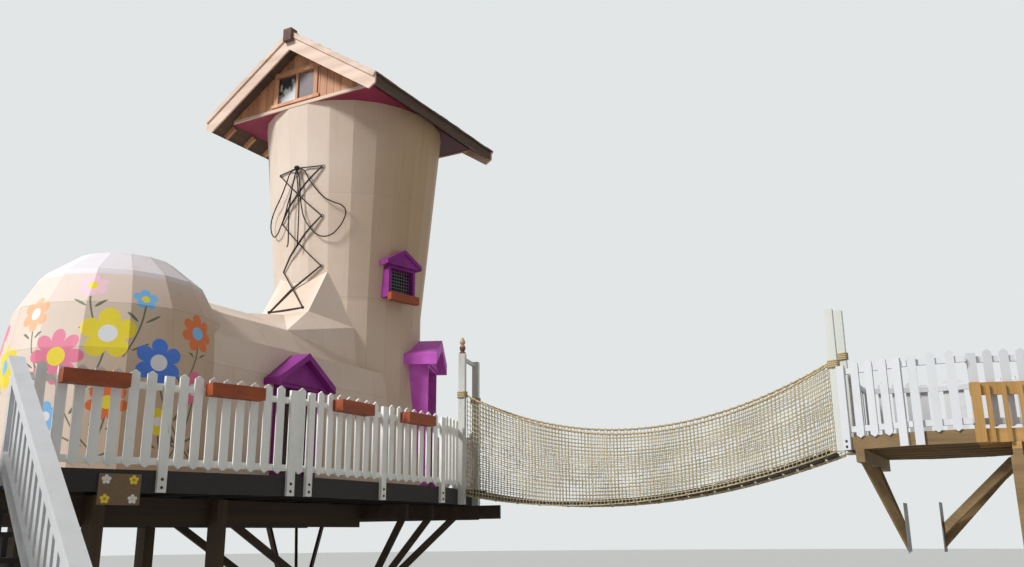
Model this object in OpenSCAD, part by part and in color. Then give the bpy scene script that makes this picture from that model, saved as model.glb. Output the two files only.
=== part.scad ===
// Boot-shaped tree house on a raised deck, with a stair, a rope-net bridge and a second platform.
// X runs from the toe to the heel of the boot, Y away from the front fence, Z up from the ground.
// The origin is under the foot of the front deck post that stands nearest the boot's shaft.

/* [Deck] */
// Height of the deck floor above the ground
deck_h = 2200; // [1800:50:2800]
// Depth of the rim boards
rim_h = 200; // [150:5:260]
// Thickness of framing timber
lumber_t = 38; // [30:1:50]
// Thickness of the floor boards
board_t = 28; // [20:1:38]
// Distance from the boot's centre line to the straight front rim
front_y = 1865; // [1700:5:2100]
// Length of the straight front rim
front_len = 2680; // [2400:10:3000]
// How far the straight front rim ends short of the shaft's axis
front_end = 300; // [200:10:400]
// Turn of the rim at the first bend towards the toe
toe_bend = 16; // [12:1:20]
// Length of the rim after that bend
toe_bay = 1580; // [1450:10:1700]
// Turn of the rim at the second bend towards the toe
toe_turn = 23; // [20:1:27]
// Length of the rim where the stair arrives
stair_bay = 2300; // [2250:10:2500]
// Turn of the rim at the bridge
heel_bend = 15; // [12:1:18]
// Length of the rim at the bridge
bridge_bay = 1650; // [1600:10:1800]
// Turn of the last rim bay towards the heel
heel_turn = 40; // [35:1:45]
// Length of the last rim bay
heel_bay = 980; // [900:10:1100]
// Spacing of the joists
joist_pitch = 610; // [400:10:700]

/* [Supports] */
// Side of a square deck post
post_w = 140; // [110:5:160]
// Depth of the main beams
beam_h = 286; // [230:2:300]
// Depth of the cross beams at the heel
cross_beam_h = 184; // [140:2:200]
// Radius of the round opening through the deck
deck_hole_r = 450; // [430:5:480]
// Place of that opening, back from the shaft's axis
deck_hole_x = 400; // [380:5:440]
// Distance of the main beams' inner faces from the centre line
beam_y = 412; // [405:1:440]
// Distance of the far deck posts from the near ones
post_gap = 1600; // [1500:10:1650]
// Thickness of a bracket plate
plate_t = 12; // [8:1:16]
// Radius of a bolt hole in a bracket plate
bolt_r = 9; // [6:0.5:12]

/* [Fence] */
// Height of the fence posts above the floor
fence_h = 880; // [800:10:1000]
// Length of a picket
picket_l = 900; // [820:10:980]
// Width of a picket
picket_w = 89; // [70:1:110]
// Thickness of a picket
picket_t = 19; // [15:1:25]
// Spacing of the pickets
picket_pitch = 160; // [140:1:200]
// Height of a picket's point
picket_tip = 32; // [20:1:45]
// Depth of a fence rail
rail_h = 64; // [50:1:80]
// Height of the upper rail above the floor
rail_top = 745; // [700:5:780]
// Length of a flower box
box_len = 580; // [500:10:640]
// Height of a flower box
box_h = 125; // [100:5:150]
// Depth of a flower box
box_d = 140; // [110:5:170]
// Distance of the flower boxes' tops below the pickets' tips
box_drop = 30; // [0:5:60]
// Thickness of a flower box's boards
box_t = 16; // [12:1:20]
// Length of the name board
sign_l = 370; // [300:10:450]
// Height of the name board
sign_h = 275; // [200:5:300]

/* [Stair] */
// Width of the stair
stair_w = 870; // [800:10:870]
// Place of the stair along its rim bay
stair_s = 1310; // [1290:5:1335]
// Number of risers
risers = 12; // [11:1:13]
// Going of a step
going = 295; // [270:1:300]
// Depth of a tread
tread_d = 280; // [250:1:290]
// Height of the stair rail's cap above the steps
stair_rail_h = 935; // [900:5:1000]
// Width of the stair rail's cap
rail_cap_w = 130; // [120:5:150]
// Depth of the boards under the cap and along the steps
rail_board_h = 140; // [89:1:150]
// Depth of the clear space between those boards
rail_clear_h = 560; // [500:5:600]
// Spacing of the stair's pickets
stair_picket_pitch = 180; // [150:5:200]

/* [Boot] */
// Radius of the shaft near the floor, to its corners
shaft_r = 1054; // [1000:1:1100]
// Radius of the shaft at its top, to its corners
shaft_top_r = 1323; // [1280:1:1340]
// Height of the shaft
shaft_h = 5360; // [5200:10:5500]
// Height at which the shaft starts to widen
flare_z = 2513; // [2450:1:2600]
// Number of flat sides round the shaft
shaft_sides = 24;
// Thickness of the boot's walls
wall_t = 45; // [30:1:60]
// Radius of the toe, to its corners
toe_r = 1130; // [1080:5:1160]
// Distance of the toe's centre from the shaft's axis
toe_x = 3919; // [3850:1:4000]
// Number of flat sides round the toe
toe_sides = 16;
// Height of the toe's upright wall
toe_wall_h = 1190; // [1100:5:1250]
// Height of the toe at its crown
toe_h = 2420; // [2350:5:2500]
// Half width of the foot
foot_w = 1035; // [1000:5:1040]
// Half width of the foot at its lower fold
fold_low_w = 955; // [930:5:980]
// Height of the lower fold
fold_low_z = 1540; // [1500:5:1580]
// Half width of the foot at its upper fold
fold_high_w = 675; // [650:5:700]
// Height of the upper fold
fold_high_z = 1865; // [1840:5:1890]
// Height of the foot's ridge
foot_h = 2160; // [2130:5:2190]

/* [Openings] */
// Width of the side doorway
side_door_w = 560; // [480:5:620]
// Height of the side doorway
side_door_h = 1060; // [950:5:1080]
// Distance of the side doorway from the shaft's axis
side_door_x = 2270; // [2150:5:2350]
// Width of the heel doorway
heel_door_w = 660; // [600:5:680]
// Height of the heel doorway
heel_door_h = 1680; // [1600:5:1720]
// Bearing of the heel doorway
heel_door_az = -66; // [-67:1:-60]
// Width of the shaft window
window_w = 400; // [370:5:440]
// Height of the shaft window
window_h = 370; // [340:5:420]
// Height of the shaft window's lower edge
window_z = 2620; // [2600:5:2680]
// Bearing of the shaft window
window_az = -104; // [-107:1:-102]

/* [Roof] */
// Half width of the roof
roof_w = 1530; // [1500:5:1600]
// Overhang of the roof past the gable walls
roof_over = 250; // [200:5:300]
// Distance of a gable wall's outside within the corners of the shaft's top
gable_in = 38; // [23:1:53]
// Height of the ridge above the top of the shaft
ridge_up = 1040; // [990:5:1140]
// Rise of the roof for each unit of width
roof_rise = 0.673; // [0.66:0.001:0.69]
// Thickness of the roof, measured upright
roof_t = 150; // [130:1:155]
// Radius of the round opening through the roof
roof_hole_r = 390; // [360:5:430]
// Width of the gable window
gable_win_w = 800; // [700:10:820]
// Height of the gable window
gable_win_h = 500; // [450:5:520]
// Depth of a gable fascia board
fascia_h = 235; // [200:5:260]
// Thickness of a fascia board
fascia_t = 25; // [19:1:38]

/* [Bridge] */
// Width of the bridge between its ropes
bridge_w = 660; // [600:5:700]
// Place of the bridge's near rope past the shaft's axis
bridge_x = 410; // [400:1:430]
// Distance from the boot's centre line to the far end of the bridge
bridge_far = 6740; // [6600:10:6850]
// Height of the second platform above the deck
platform_z = 410; // [350:5:450]
// Height of the bridge's posts above the deck
bridge_post_h = 1855; // [1750:5:1950]
// Side of a bridge post
bridge_post_w = 89; // [70:1:95]
// Sag of the bridge's floor
floor_sag = 340; // [300:5:380]
// Sag of the hand ropes
hand_sag = 640; // [600:5:680]
// Diameter of the hand and foot ropes
rope_d = 26; // [20:1:30]
// Width of a bridge plank
plank_w = 140; // [120:1:150]
// Spacing of the bridge planks
plank_pitch = 172; // [165:1:200]
// Thickness of a side net
net_t = 12; // [8:1:16]

/* [Platform] */
// Half width of the platform
platform_w = 1130; // [1100:5:1160]
// Length of the platform, away from the bridge
platform_l = 2600; // [2500:10:2700]
// How much lower the platform's fence is than the deck's
platform_fence_drop = 85; // [60:5:100]
// Height of the platform's unpainted railing
landing_h = 475; // [450:5:600]
// Depth of the platform's rim
platform_rim_h = 140; // [120:1:160]
// Radius of the opening through the platform
platform_hole_r = 200; // [180:1:230]
// Distance of that opening from the bridge's end
platform_hole_y = 680; // [640:10:720]

/* [Laces] */
// Diameter of the lace rope
lace_d = 18; // [14:1:22]

/* [Hidden] */
// Colours of the parts
boot_colour = [0.80, 0.70, 0.58];
purple = [0.55, 0.15, 0.58];
cedar = [0.80, 0.56, 0.38];
stain = [0.20, 0.17, 0.14];
white_paint = [0.90, 0.90, 0.88];
rope_colour = [0.70, 0.64, 0.50];
// Place of the first post in the deck's own frame, whose origin is on the shaft's axis at floor level
post_x = -2850;
post_y = -(beam_y + 2 * lumber_t + post_w / 2);
// A gap left between a piece and the piece that it slides or hangs against
seat_gap = 0.3;

// Moves what is drawn in the deck's own frame to its place over the ground
module on_deck() {
    translate([-post_x, -post_y, deck_h]) children();
}

// A unit vector at a bearing
function dir(a) = [cos(a), sin(a)];
// The bearing of a plane vector
function bearing(v) = atan2(v[1], v[0]);
// A point at a given length and bearing from another
function step_to(p, len, a) = p + len * dir(a);
// The corner of two lines given by points and bearings
function meet(p, a, q, b) =
    let (d = dir(a), e = dir(b), c = d[0] * e[1] - d[1] * e[0], w = q - p)
    p + d * ((w[0] * e[1] - w[1] * e[0]) / c);
// A convex outline, running counter-clockwise, moved inwards by a distance
function inset(pts, t) =
    let (n = len(pts))
    [for (i = [0:n - 1])
        let (p = pts[i], before = bearing(p - pts[(i + n - 1) % n]),
            after = bearing(pts[(i + 1) % n] - p))
        meet(p + t * dir(before + 90), before, p + t * dir(after + 90), after)];
// The outline's mirror image, so that it still runs counter-clockwise
function mirrored(pts) = [for (i = [len(pts) - 1:-1:0]) [pts[i][0], -pts[i][1]]];

// Corners of the deck's front rim, from the toe end to the heel end
deck_b = [-front_end - front_len, -front_y];
deck_d = [-front_end, -front_y];
deck_a = step_to(deck_b, toe_bay, 180 - toe_bend);
deck_s = step_to(deck_a, stair_bay, 180 - toe_turn);
deck_f = step_to(deck_d, bridge_bay, heel_bend);
deck_g = step_to(deck_f, heel_bay, heel_turn);
deck_front = [deck_s, deck_a, deck_b, deck_d, deck_f, deck_g];
deck_outline = concat(deck_front, mirrored(deck_front));

// A flat outline given thickness between two heights
module slab(pts, low, high) {
    translate([0, 0, low]) linear_extrude(height = high - low) polygon(pts);
}

// A square-cut timber from one point to another, with its width level
module timber(p, q, w, h) {
    v = q - p;
    run = norm([v[0], v[1]]);
    translate(p) rotate([0, -atan2(v[2], run), atan2(v[1], v[0])])
        translate([0, -w / 2, -h / 2]) cube([norm(v), w, h]);
}

// Deck

module deck_boards() {
    color(cedar) on_deck() difference() {
        slab(inset(deck_outline, lumber_t), -board_t, 0);
        translate([-deck_hole_x, 0, -2 * board_t]) cylinder(r = deck_hole_r, h = 4 * board_t, $fn = 48);
    }
}

joist_x = [for (x = [deck_s[0] + joist_pitch / 2:joist_pitch:deck_g[0] - lumber_t]) x];

module deck_rim() {
    color(stain) on_deck() difference() {
        slab(deck_outline, -rim_h, 0);
        slab(inset(deck_outline, lumber_t), -rim_h - 1, 1);
    }
}

module deck_joists() {
    color(stain) on_deck() {
        difference() {
            intersection() {
                slab(inset(deck_outline, lumber_t), -rim_h, -board_t);
                union() for (x = joist_x)
                    translate([x, -deck_h, -rim_h]) cube([lumber_t, 2 * deck_h, rim_h - board_t]);
            }
            translate([-deck_hole_x, 0, -rim_h - 1])
                cylinder(r = deck_hole_r, h = rim_h, $fn = 48);
        }
        for (s = [-1, 1]) header_pair(s);
    }
}

// The short timbers that carry the cut joists beside the round opening
module header_pair(s) {
    reach = joist_pitch * 2 + lumber_t;
    first = [for (x = joist_x) if (x < -deck_hole_x - deck_hole_r) x];
    start = first[len(first) - 1];
    translate([start, s > 0 ? deck_hole_r : -deck_hole_r - lumber_t, -rim_h])
        cube([reach + joist_pitch, lumber_t, rim_h - board_t]);
}

beam_top = -rim_h;
beam_start = deck_s[0] + 460;
cross_x = [for (x = joist_x) if (x > -front_end - 100) x];
beam_end = cross_x[0];
cross_half = 1250;
bridge_beam_out = 1960;

module deck_beams() {
    color(stain) on_deck() {
        for (s = [-1, 1])
            translate([beam_start, s > 0 ? beam_y : -beam_y - 2 * lumber_t, beam_top - beam_h])
                cube([beam_end - beam_start, 2 * lumber_t, beam_h]);
        for (i = [0:len(cross_x) - 1])
            cross_beam(cross_x[i], i == 0 ? beam_y : 0,
                i == len(cross_x) - 2 ? bridge_beam_out : cross_half);
    }
}

// A beam under a joist at the heel, in two lengths where it would cross the round opening
module cross_beam(x, inner, out) {
    translate([x, -out, beam_top - cross_beam_h]) cube([lumber_t, out - inner, cross_beam_h]);
    translate([x, inner, beam_top - cross_beam_h]) cube([lumber_t, cross_half - inner, cross_beam_h]);
}

deck_post_x = [post_x, post_x - post_gap, post_x - 2 * post_gap];

module deck_posts() {
    color(stain) on_deck() for (x = deck_post_x, s = [-1, 1])
        translate([x - post_w / 2, s > 0 ? -post_y - post_w / 2 : post_y - post_w / 2, -deck_h])
            cube([post_w, post_w, deck_h + beam_top]);
}

plate_w = 260;
plate_l = 520;
plate_z = -1960;
plate_edge = 40;
platform_plate_z = platform_z - 1230;

module brace_plates() {
    color("dimgray") on_deck() {
        for (s = [-1, 1]) translate([-deck_hole_x, s * beam_y, plate_z]) bolt_plate(s);
        for (s = [-1, 1])
            translate([platform_hole[0], platform_hole[1] + s * plate_reach, platform_plate_z])
                bolt_plate(s);
    }
}

// An upright steel plate with four bolt holes, its flat back towards the centre line
module bolt_plate(s) {
    difference() {
        translate([-plate_w / 2, s > 0 ? 0 : -plate_t, 0]) cube([plate_w, plate_t, plate_l]);
        for (x = [-1, 1], z = [1.5 * plate_edge, plate_l - 1.5 * plate_edge])
            translate([x * (plate_w / 2 - plate_edge), plate_t + 1, z])
                rotate([90, 0, 0]) cylinder(r = bolt_r, h = 2 * plate_t + 2, $fn = 32);
    }
}

brace_d = 89;
brace_end = 410;
far = 20000;

// A brace cut level under its beam and upright against the plate that it stands off
module knee(p, q, s, top, face) {
    v = q - p;
    intersection() {
        timber(p - 0.3 * v, q + 0.3 * v, lumber_t, brace_d);
        translate([-far / 2, s > 0 ? face : face - far, top - far]) cube([far, far, far]);
    }
}

// A brace that lies flat against its plate and is cut level under its beam
module side_knee(p, q, top) {
    v = q - p;
    intersection() {
        timber(p, q + 0.3 * v, lumber_t, brace_d);
        translate([-far / 2, -far / 2, top - far]) cube([far, far, far]);
    }
}

module knee_braces() {
    back = beam_y + plate_t;
    color(stain) on_deck() for (s = [-1, 1]) {
        side_knee([-deck_hole_x - 40, s * (back + lumber_t / 2), plate_z + 0.75 * plate_l],
            [post_x + brace_end, s * (back + lumber_t / 2), beam_top - beam_h], beam_top - beam_h);
        for (i = [0:len(cross_x) - 2])
            knee([-deck_hole_x + 20 + 30 * i, s * back, plate_z + 100 + 90 * i],
                [cross_x[i] + lumber_t / 2, s * (cross_half - 80), beam_top - cross_beam_h],
                s, beam_top - cross_beam_h, s * back);
    }
}

// Fences

// One picket with a point at each end, standing on the local X axis
module picket(x, bottom, l) {
    h = picket_w / 2;
    translate([x, 0, bottom]) rotate([90, 0, 0]) linear_extrude(height = picket_t)
        polygon([[-h, picket_tip], [0, 0], [h, picket_tip],
            [h, l - picket_tip], [0, l], [-h, l - picket_tip]]);
}

// A post on the outside of the rim, or of the same make inside it
module fence_post(x, low, high) {
    translate([x - picket_w / 2, -lumber_t, low]) cube([picket_w, lumber_t, high - low]);
}

// The turn of a convex outline at its corner, and what a rail keeps clear of it
function turn_at(pts, i) =
    let (n = len(pts), p = pts[i % n], a = bearing(p - pts[(i + n - 1) % n]),
        b = bearing(pts[(i + 1) % n] - p))
    (b - a + 360) % 360;
function corner_gap(pts, i) = lumber_t * tan(turn_at(pts, i) / 2) + 3;
function edge_len(pts, i) = norm(pts[(i + 1) % len(pts)] - pts[i]);

// Places what is drawn along local X on an edge of an outline, with the outside on the -Y side
module on_edge(pts, i) {
    translate(pts[i]) rotate(bearing(pts[(i + 1) % len(pts)] - pts[i])) children();
}

// A run of fence on a whole edge of an outline, with posts at the given lengths along it
module fence_edge(pts, i, posts, low) {
    fence_span(pts, i, corner_gap(pts, i), edge_len(pts, i) - corner_gap(pts, i + 1), posts, low);
}

// How much lower the upper rail, the tops and the pickets' feet are than on the deck
$rail_drop = 0;
$top_drop = 0;
$foot_drop = 0;

// Part of an edge; its rails may run on behind what stands at its ends
module fence_span(pts, i, from, to, posts, low, lap_from = 0, lap_to = 0) {
    on_edge(pts, i) {
        for (z = [50, rail_top - $rail_drop])
            translate([from - lap_from, 0, z]) cube([to - from + lap_from + lap_to, lumber_t, rail_h]);
        for (x = posts) fence_post(x, -low, fence_h - $top_drop);
        for (k = [0:len(posts)])
            picket_row(k == 0 ? from : posts[k - 1] + picket_w / 2,
                k == len(posts) ? to : posts[k] - picket_w / 2);
    }
}

// Pickets spaced evenly between two posts
module picket_row(a, b) {
    n = max(floor((b - a) / picket_pitch), 0);
    gap = (b - a - n * picket_w) / (n + 1);
    if (n > 0) for (i = [0:n - 1])
        picket(a + gap + picket_w / 2 + i * (picket_w + gap), 20 - $foot_drop,
            picket_l - $top_drop + $foot_drop);
}

// The outline's edges, counted from the stair round to the bridge, the heel, the back and the toe
stair_edge = 0;
front_edge = 2;
bridge_edge = 3;
last_edge = len(deck_outline) - 1;
post_in = 60;
corner_post = 45;

module fence_front_left() {
    stair_side = stair_bay - stair_s + cap_outer + 10;
    color(white_paint) on_deck() {
        fence_span(deck_outline, stair_edge, stair_side, stair_bay - corner_gap(deck_outline, 1),
            [stair_side + 310], rim_h);
        fence_edge(deck_outline, 1, [corner_post, toe_bay - 164], rim_h);
        on_edge(deck_outline, 1) picket(toe_bay - 63, 20, picket_l);
    }
}

// Lengths along the bridge bay at which the two near bridge posts stand
post_shift = bridge_post_w * sin(heel_bend);
bridge_s = (bridge_x + front_end - post_shift) / cos(heel_bend);
bridge_far_s = (bridge_x + bridge_w + front_end - post_shift) / cos(heel_bend);
bridge_gap = bridge_post_w / 2 + 2;

module fence_front_right() {
    color(white_paint) on_deck() {
        fence_edge(deck_outline, front_edge,
            [post_in, front_len / 2 + 25, front_len - corner_post], rim_h);
        fence_span(deck_outline, bridge_edge, corner_gap(deck_outline, bridge_edge),
            bridge_s - bridge_gap, [], 0, 0, bridge_gap);
    }
}

module fence_heel() {
    color(white_paint) on_deck() {
        fence_span(deck_outline, bridge_edge, bridge_far_s + bridge_gap,
            bridge_bay - corner_gap(deck_outline, 4), [], 0, bridge_gap, 0);
        for (i = [4:6]) fence_edge(deck_outline, i, [post_in, edge_len(deck_outline, i) - post_in], rim_h);
    }
}

module fence_back() {
    color(white_paint) on_deck() for (i = [7:9])
        fence_edge(deck_outline, i, [post_in, edge_len(deck_outline, i) / 2,
            edge_len(deck_outline, i) - post_in], rim_h);
}

module fence_toe() {
    color(white_paint) on_deck() for (i = [10, last_edge])
        fence_edge(deck_outline, i, [post_in, edge_len(deck_outline, i) / 2,
            edge_len(deck_outline, i) - post_in], rim_h);
}

// Lengths along their rim bays at which the flower boxes hang; the first hangs before a post, not a picket
box_places = [[deck_a, 180 - toe_turn, 643, lumber_t], [deck_b, 180 - toe_bend, 872, picket_t],
    [deck_b, 0, 703, picket_t], [deck_b, 0, 1980, picket_t]];

module flower_boxes() {
    color([0.66, 0.30, 0.14]) on_deck() for (b = box_places)
        translate(step_to(b[0], b[2], b[1])) rotate(b[1] > 90 ? b[1] - 180 : b[1])
            translate([-box_len / 2, -b[3] - box_d - seat_gap, fence_h - box_drop - box_h]) open_box();
}

module open_box() {
    difference() {
        cube([box_len, box_d, box_h]);
        translate([box_t, box_t, box_t]) cube([box_len - 2 * box_t, box_d - 2 * box_t, box_h]);
    }
}

module sign_board() {
    color([0.36, 0.24, 0.14]) on_deck()
        translate(step_to(deck_a, 320, 180 - toe_turn)) rotate(-toe_turn)
            translate([-sign_l / 2, -20, -sign_h - 40]) cube([sign_l, 20, sign_h]);
}

// Stair, drawn with its top at the rim and its flight running down along local -Y

riser = deck_h / risers;
flight = (risers - 1) * going;

module at_stair() {
    on_deck() translate(step_to(deck_a, stair_s, 180 - toe_turn)) rotate(180 - toe_turn)
        mirror([0, 1, 0]) children();
}

// The side outline of a stringer, in steps
stringer_pts = concat(
    [for (i = [1:risers - 1], k = [0, 1]) [-(i - 1 + k) * going, -i * riser - lumber_t]],
    [[-flight, -deck_h], [-flight + 330, -deck_h], [0, -riser - 330]]);

module stringer(x) {
    translate([x, 0, 0]) rotate([90, 0, 90]) linear_extrude(height = lumber_t)
        polygon(stringer_pts);
}

header_h = 320;

// The stringers hang on a board fixed under the rim
module stair_stringers() {
    color(stain) at_stair() {
        for (x = [30, stair_w - 30 - lumber_t]) stringer(x);
        translate([0, 0, -rim_h - header_h]) cube([stair_w, lumber_t, header_h]);
    }
}

module stair_treads() {
    color(stain) at_stair() for (i = [1:risers - 1])
        translate([0, -i * going + (going - tread_d) / 2, -i * riser - lumber_t])
            cube([stair_w, tread_d, lumber_t]);
}

newel_w = 89;
rail_slope = riser / going;
slant = sqrt(1 + rail_slope * rail_slope);
cap_outer = lumber_t + picket_t + 35;
cap_under = stair_rail_h - lumber_t * slant;

// A length of board that follows the flight, between two distances from the rim, given by its upper edge
module sloped(x, w, from, to, top, tall) {
    translate([x, 0, 0]) rotate([90, 0, 90]) linear_extrude(height = w)
        polygon([for (p = [[from, -tall], [to, -tall], [to, 0], [from, 0]])
            [p[0], top + p[1] + rail_slope * p[0]]]);
}

// The railing on the near side: newels, a wide cap over a board on edge, a lower board, and pickets outside
module stair_rail() {
    end = -flight + going / 2 - newel_w;
    lower = cap_under - rail_board_h * slant - rail_clear_h;
    translate([-lumber_t, end, -deck_h]) cube([lumber_t, newel_w, cap_under + rail_slope * end + deck_h]);
    translate([-lumber_t, -newel_w, -rim_h])
        cube([lumber_t, newel_w, rim_h + cap_under - rail_slope * newel_w]);
    sloped(-cap_outer, rail_cap_w, 0, end, stair_rail_h, lumber_t * slant);
    sloped(-lumber_t, lumber_t, 0, end, cap_under, rail_board_h * slant);
    sloped(-lumber_t, lumber_t, 0, end, lower, rail_board_h * slant);
    for (y = [-30:-stair_picket_pitch:end + picket_w])
        sloped(-lumber_t - picket_t, picket_t, y, y - picket_w, cap_under, cap_under + 120);
}

module stair_rails() {
    color(white_paint) at_stair() {
        stair_rail();
        translate([stair_w, 0, 0]) mirror([1, 0, 0]) stair_rail();
    }
}

// Boot walls

// Corners of a regular outline whose flat sides face the axes
function ring(r, n, z, from = 0, to = undef) =
    [for (i = [from:(to == undef ? n - 1 : to)]) let (a = 360 * (i - 0.5) / n) [r * cos(a), r * sin(a), z]];
function flat_ring(r, n) = [for (p = ring(r, n, 0)) [p[0], p[1]]];

// A closed shell between two grids of points, each a list of rows of equal length
module grid_shell(outer, inner) {
    rows = len(outer);
    cols = len(outer[0]);
    pts = concat([for (r = outer, p = r) p], [for (r = inner, p = r) p]);
    k = rows * cols;
    faces = concat(
        [for (i = [0:rows - 2], j = [0:cols - 2]) each quad(i * cols + j, i * cols + j + 1,
            (i + 1) * cols + j + 1, (i + 1) * cols + j)],
        [for (i = [0:rows - 2], j = [0:cols - 2]) each quad(k + (i + 1) * cols + j,
            k + (i + 1) * cols + j + 1, k + i * cols + j + 1, k + i * cols + j)],
        [for (j = [0:cols - 2]) each quad(j + 1, j, k + j, k + j + 1)],
        [for (j = [0:cols - 2]) each quad((rows - 1) * cols + j, (rows - 1) * cols + j + 1,
            k + (rows - 1) * cols + j + 1, k + (rows - 1) * cols + j)],
        [for (i = [0:rows - 2]) each quad(i * cols, (i + 1) * cols, k + (i + 1) * cols, k + i * cols)],
        [for (i = [0:rows - 2]) each quad((i + 1) * cols + cols - 1, i * cols + cols - 1,
            k + i * cols + cols - 1, k + (i + 1) * cols + cols - 1)]);
    polyhedron(points = pts, faces = [for (f = faces) [f[2], f[1], f[0]]]);
}

// A list in the opposite order
function backwards(f) = [for (i = [len(f) - 1:-1:0]) f[i]];
// Two triangles for a four-cornered face
function quad(a, b, c, d) = [[a, b, c], [a, c, d]];

// Radii and heights of the toe's rings above its upright wall
ring_step = 22.5;
dome_fullness = 0.85;
toe_rings = [for (k = [0:3]) let (a = k * ring_step)
    [toe_r * pow(cos(a), dome_fullness), toe_wall_h + (toe_h - toe_wall_h) * sin(a)]];

// A closed solid of the toe's outer form, or of its hollow when made smaller by a wall
module toe_solid(t, floor_z) {
    n = toe_sides;
    rows = concat([[toe_r - t, floor_z]], [for (r = toe_rings) [r[0] - t, r[1] - t * 0.4]]);
    m = len(rows);
    pts = concat([for (r = rows, p = ring(r[0], n, r[1])) p], [[0, 0, toe_h - t]]);
    faces = concat([[for (j = [0:n - 1]) j]],
        [for (i = [0:m - 2], j = [0:n - 1], f = quad(i * n + j, (i + 1) * n + j,
            (i + 1) * n + (j + 1) % n, i * n + (j + 1) % n)) f],
        [for (j = [0:n - 1]) [(m - 1) * n + j, m * n, (m - 1) * n + (j + 1) % n]]);
    polyhedron(points = pts, faces = faces);
}

// Corners of half the foot's cross-section at three places from the toe to the ankle
instep_x = -2020;
ankle_fold = [760, 1590];
foot_from = -toe_x + 300;
foot_to = -400;
foot_half = [[foot_w, 0], [foot_w, toe_wall_h], [fold_low_w, fold_low_z], [fold_high_w, fold_high_z],
    [0, foot_h]];
ankle_half = [[foot_w, 0], [foot_w, toe_wall_h], [fold_low_w, ankle_fold[1] - 60], ankle_fold, [0, 1950]];

// A corner moved inwards by the wall, down from the roof and in from the side
function inner_corner(p, t) =
    [max(p[0] - t, 0), p[1] - (p[0] < 1 ? t * 1.1 : p[1] > toe_wall_h ? t * 0.7 : 0)];
function foot_section(half, x, t, low) = let (c = [for (p = half) inner_corner(p, t)])
    concat([for (p = c) [x, -p[0], p[1] < 1 ? low : p[1]]],
        [for (i = [len(c) - 2:-1:0]) [x, c[i][0], c[i][1] < 1 ? low : c[i][1]]]);

// A closed solid of the foot's outer form, or of its hollow, reaching down to a given height
module foot_solid(t, low) {
    rows = [foot_section(foot_half, foot_from, t, low), foot_section(foot_half, instep_x, t, low),
        foot_section(ankle_half, foot_to, t, low)];
    n = len(rows[0]);
    faces = concat([[for (i = [0:n - 1]) i]], [[for (i = [n - 1:-1:0]) 2 * n + i]],
        [for (k = [0, 1], i = [0:n - 1], f = quad(k * n + i, (k + 1) * n + i,
            (k + 1) * n + (i + 1) % n, k * n + (i + 1) % n)) f]);
    polyhedron(points = [for (r = rows, p = r) p], faces = [for (f = faces) backwards(f)]);
}

module shaft_lower_solid(t) {
    slab(flat_ring(shaft_r - t, shaft_sides), -1, flare_z);
}

module toe_dome() {
    color(boot_colour) on_deck() difference() {
        translate([-toe_x, 0, 0]) toe_solid(0, toe_wall_h - 200);
        translate([-toe_x, 0, 0]) toe_solid(wall_t, -10);
        translate([-toe_x - 2 * toe_r, -2 * toe_r, -10]) cube([4 * toe_r, 4 * toe_r, toe_wall_h + 10]);
        foot_solid(wall_t, -10);
    }
}

module toe_wall() {
    color(boot_colour) on_deck() difference() {
        translate([-toe_x, 0, 0]) slab(flat_ring(toe_r, toe_sides), 0, toe_wall_h);
        translate([-toe_x, 0, 0]) slab(flat_ring(toe_r - wall_t, toe_sides), -1, toe_wall_h + 1);
        foot_solid(wall_t, -10);
    }
}

// What lies outside the toe and the shaft, where the foot's own panels run
module foot_shell() {
    difference() {
        foot_solid(0, 0);
        foot_solid(wall_t, -10);
        translate([-toe_x, 0, 0]) toe_solid(0, -10);
        shaft_lower_solid(0);
    }
}

module foot_vault() {
    color(boot_colour) on_deck() difference() {
        foot_shell();
        translate([-toe_x, -2 * foot_w, -10]) cube([toe_x, 4 * foot_w, toe_wall_h + 10]);
        side_portal_cut();
    }
}

module foot_wall(s) {
    intersection() {
        foot_shell();
        translate([-toe_x, s > 0 ? 0 : -2 * foot_w, 0]) cube([toe_x, 2 * foot_w, toe_wall_h]);
    }
}

module foot_walls() {
    color(boot_colour) on_deck() {
        foot_wall(1);
        difference() {
            foot_wall(-1);
            side_portal_cut();
        }
    }
}

// Corners of the instep: the ramp up to the shaft, and the tongue above it
tongue_x = 1000;
tongue_w = 416;
tongue_z = 2918;
tongue_foot_x = 1370;
tongue_foot_w = 425;
tongue_foot_z = 2275;
ramp_x = 763;
ramp_w = 713;
ramp_z = 2130;
ramp_low_x = 732;
ramp_low_w = 748;
fold_lap = 10;
fold_proud = 5;
tongue_top = [-tongue_x, -tongue_w, tongue_z];
tongue_foot = [-tongue_foot_x, -tongue_foot_w, tongue_foot_z];
ramp_side = [-ramp_x, -ramp_w, ramp_z];
ramp_low = [instep_x, -fold_high_w + fold_lap, fold_high_z + fold_proud];
ramp_side_low = [-ramp_low_x, -ramp_low_w, ankle_fold[1] + 2 * fold_lap];
ridge_start = [instep_x, 0, foot_h + fold_proud];
ridge_end = [tongue_foot[0], 0, tongue_foot[2]];

function flip_y(p) = [p[0], -p[1], p[2]];

// A corner of the instep moved down and in by the thickness of its panels
function instep_inner(p) = p + [instep_t, p[1] > 0 ? -instep_t : p[1] < 0 ? instep_t : 0, -instep_t];
instep_t = 30;

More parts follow.
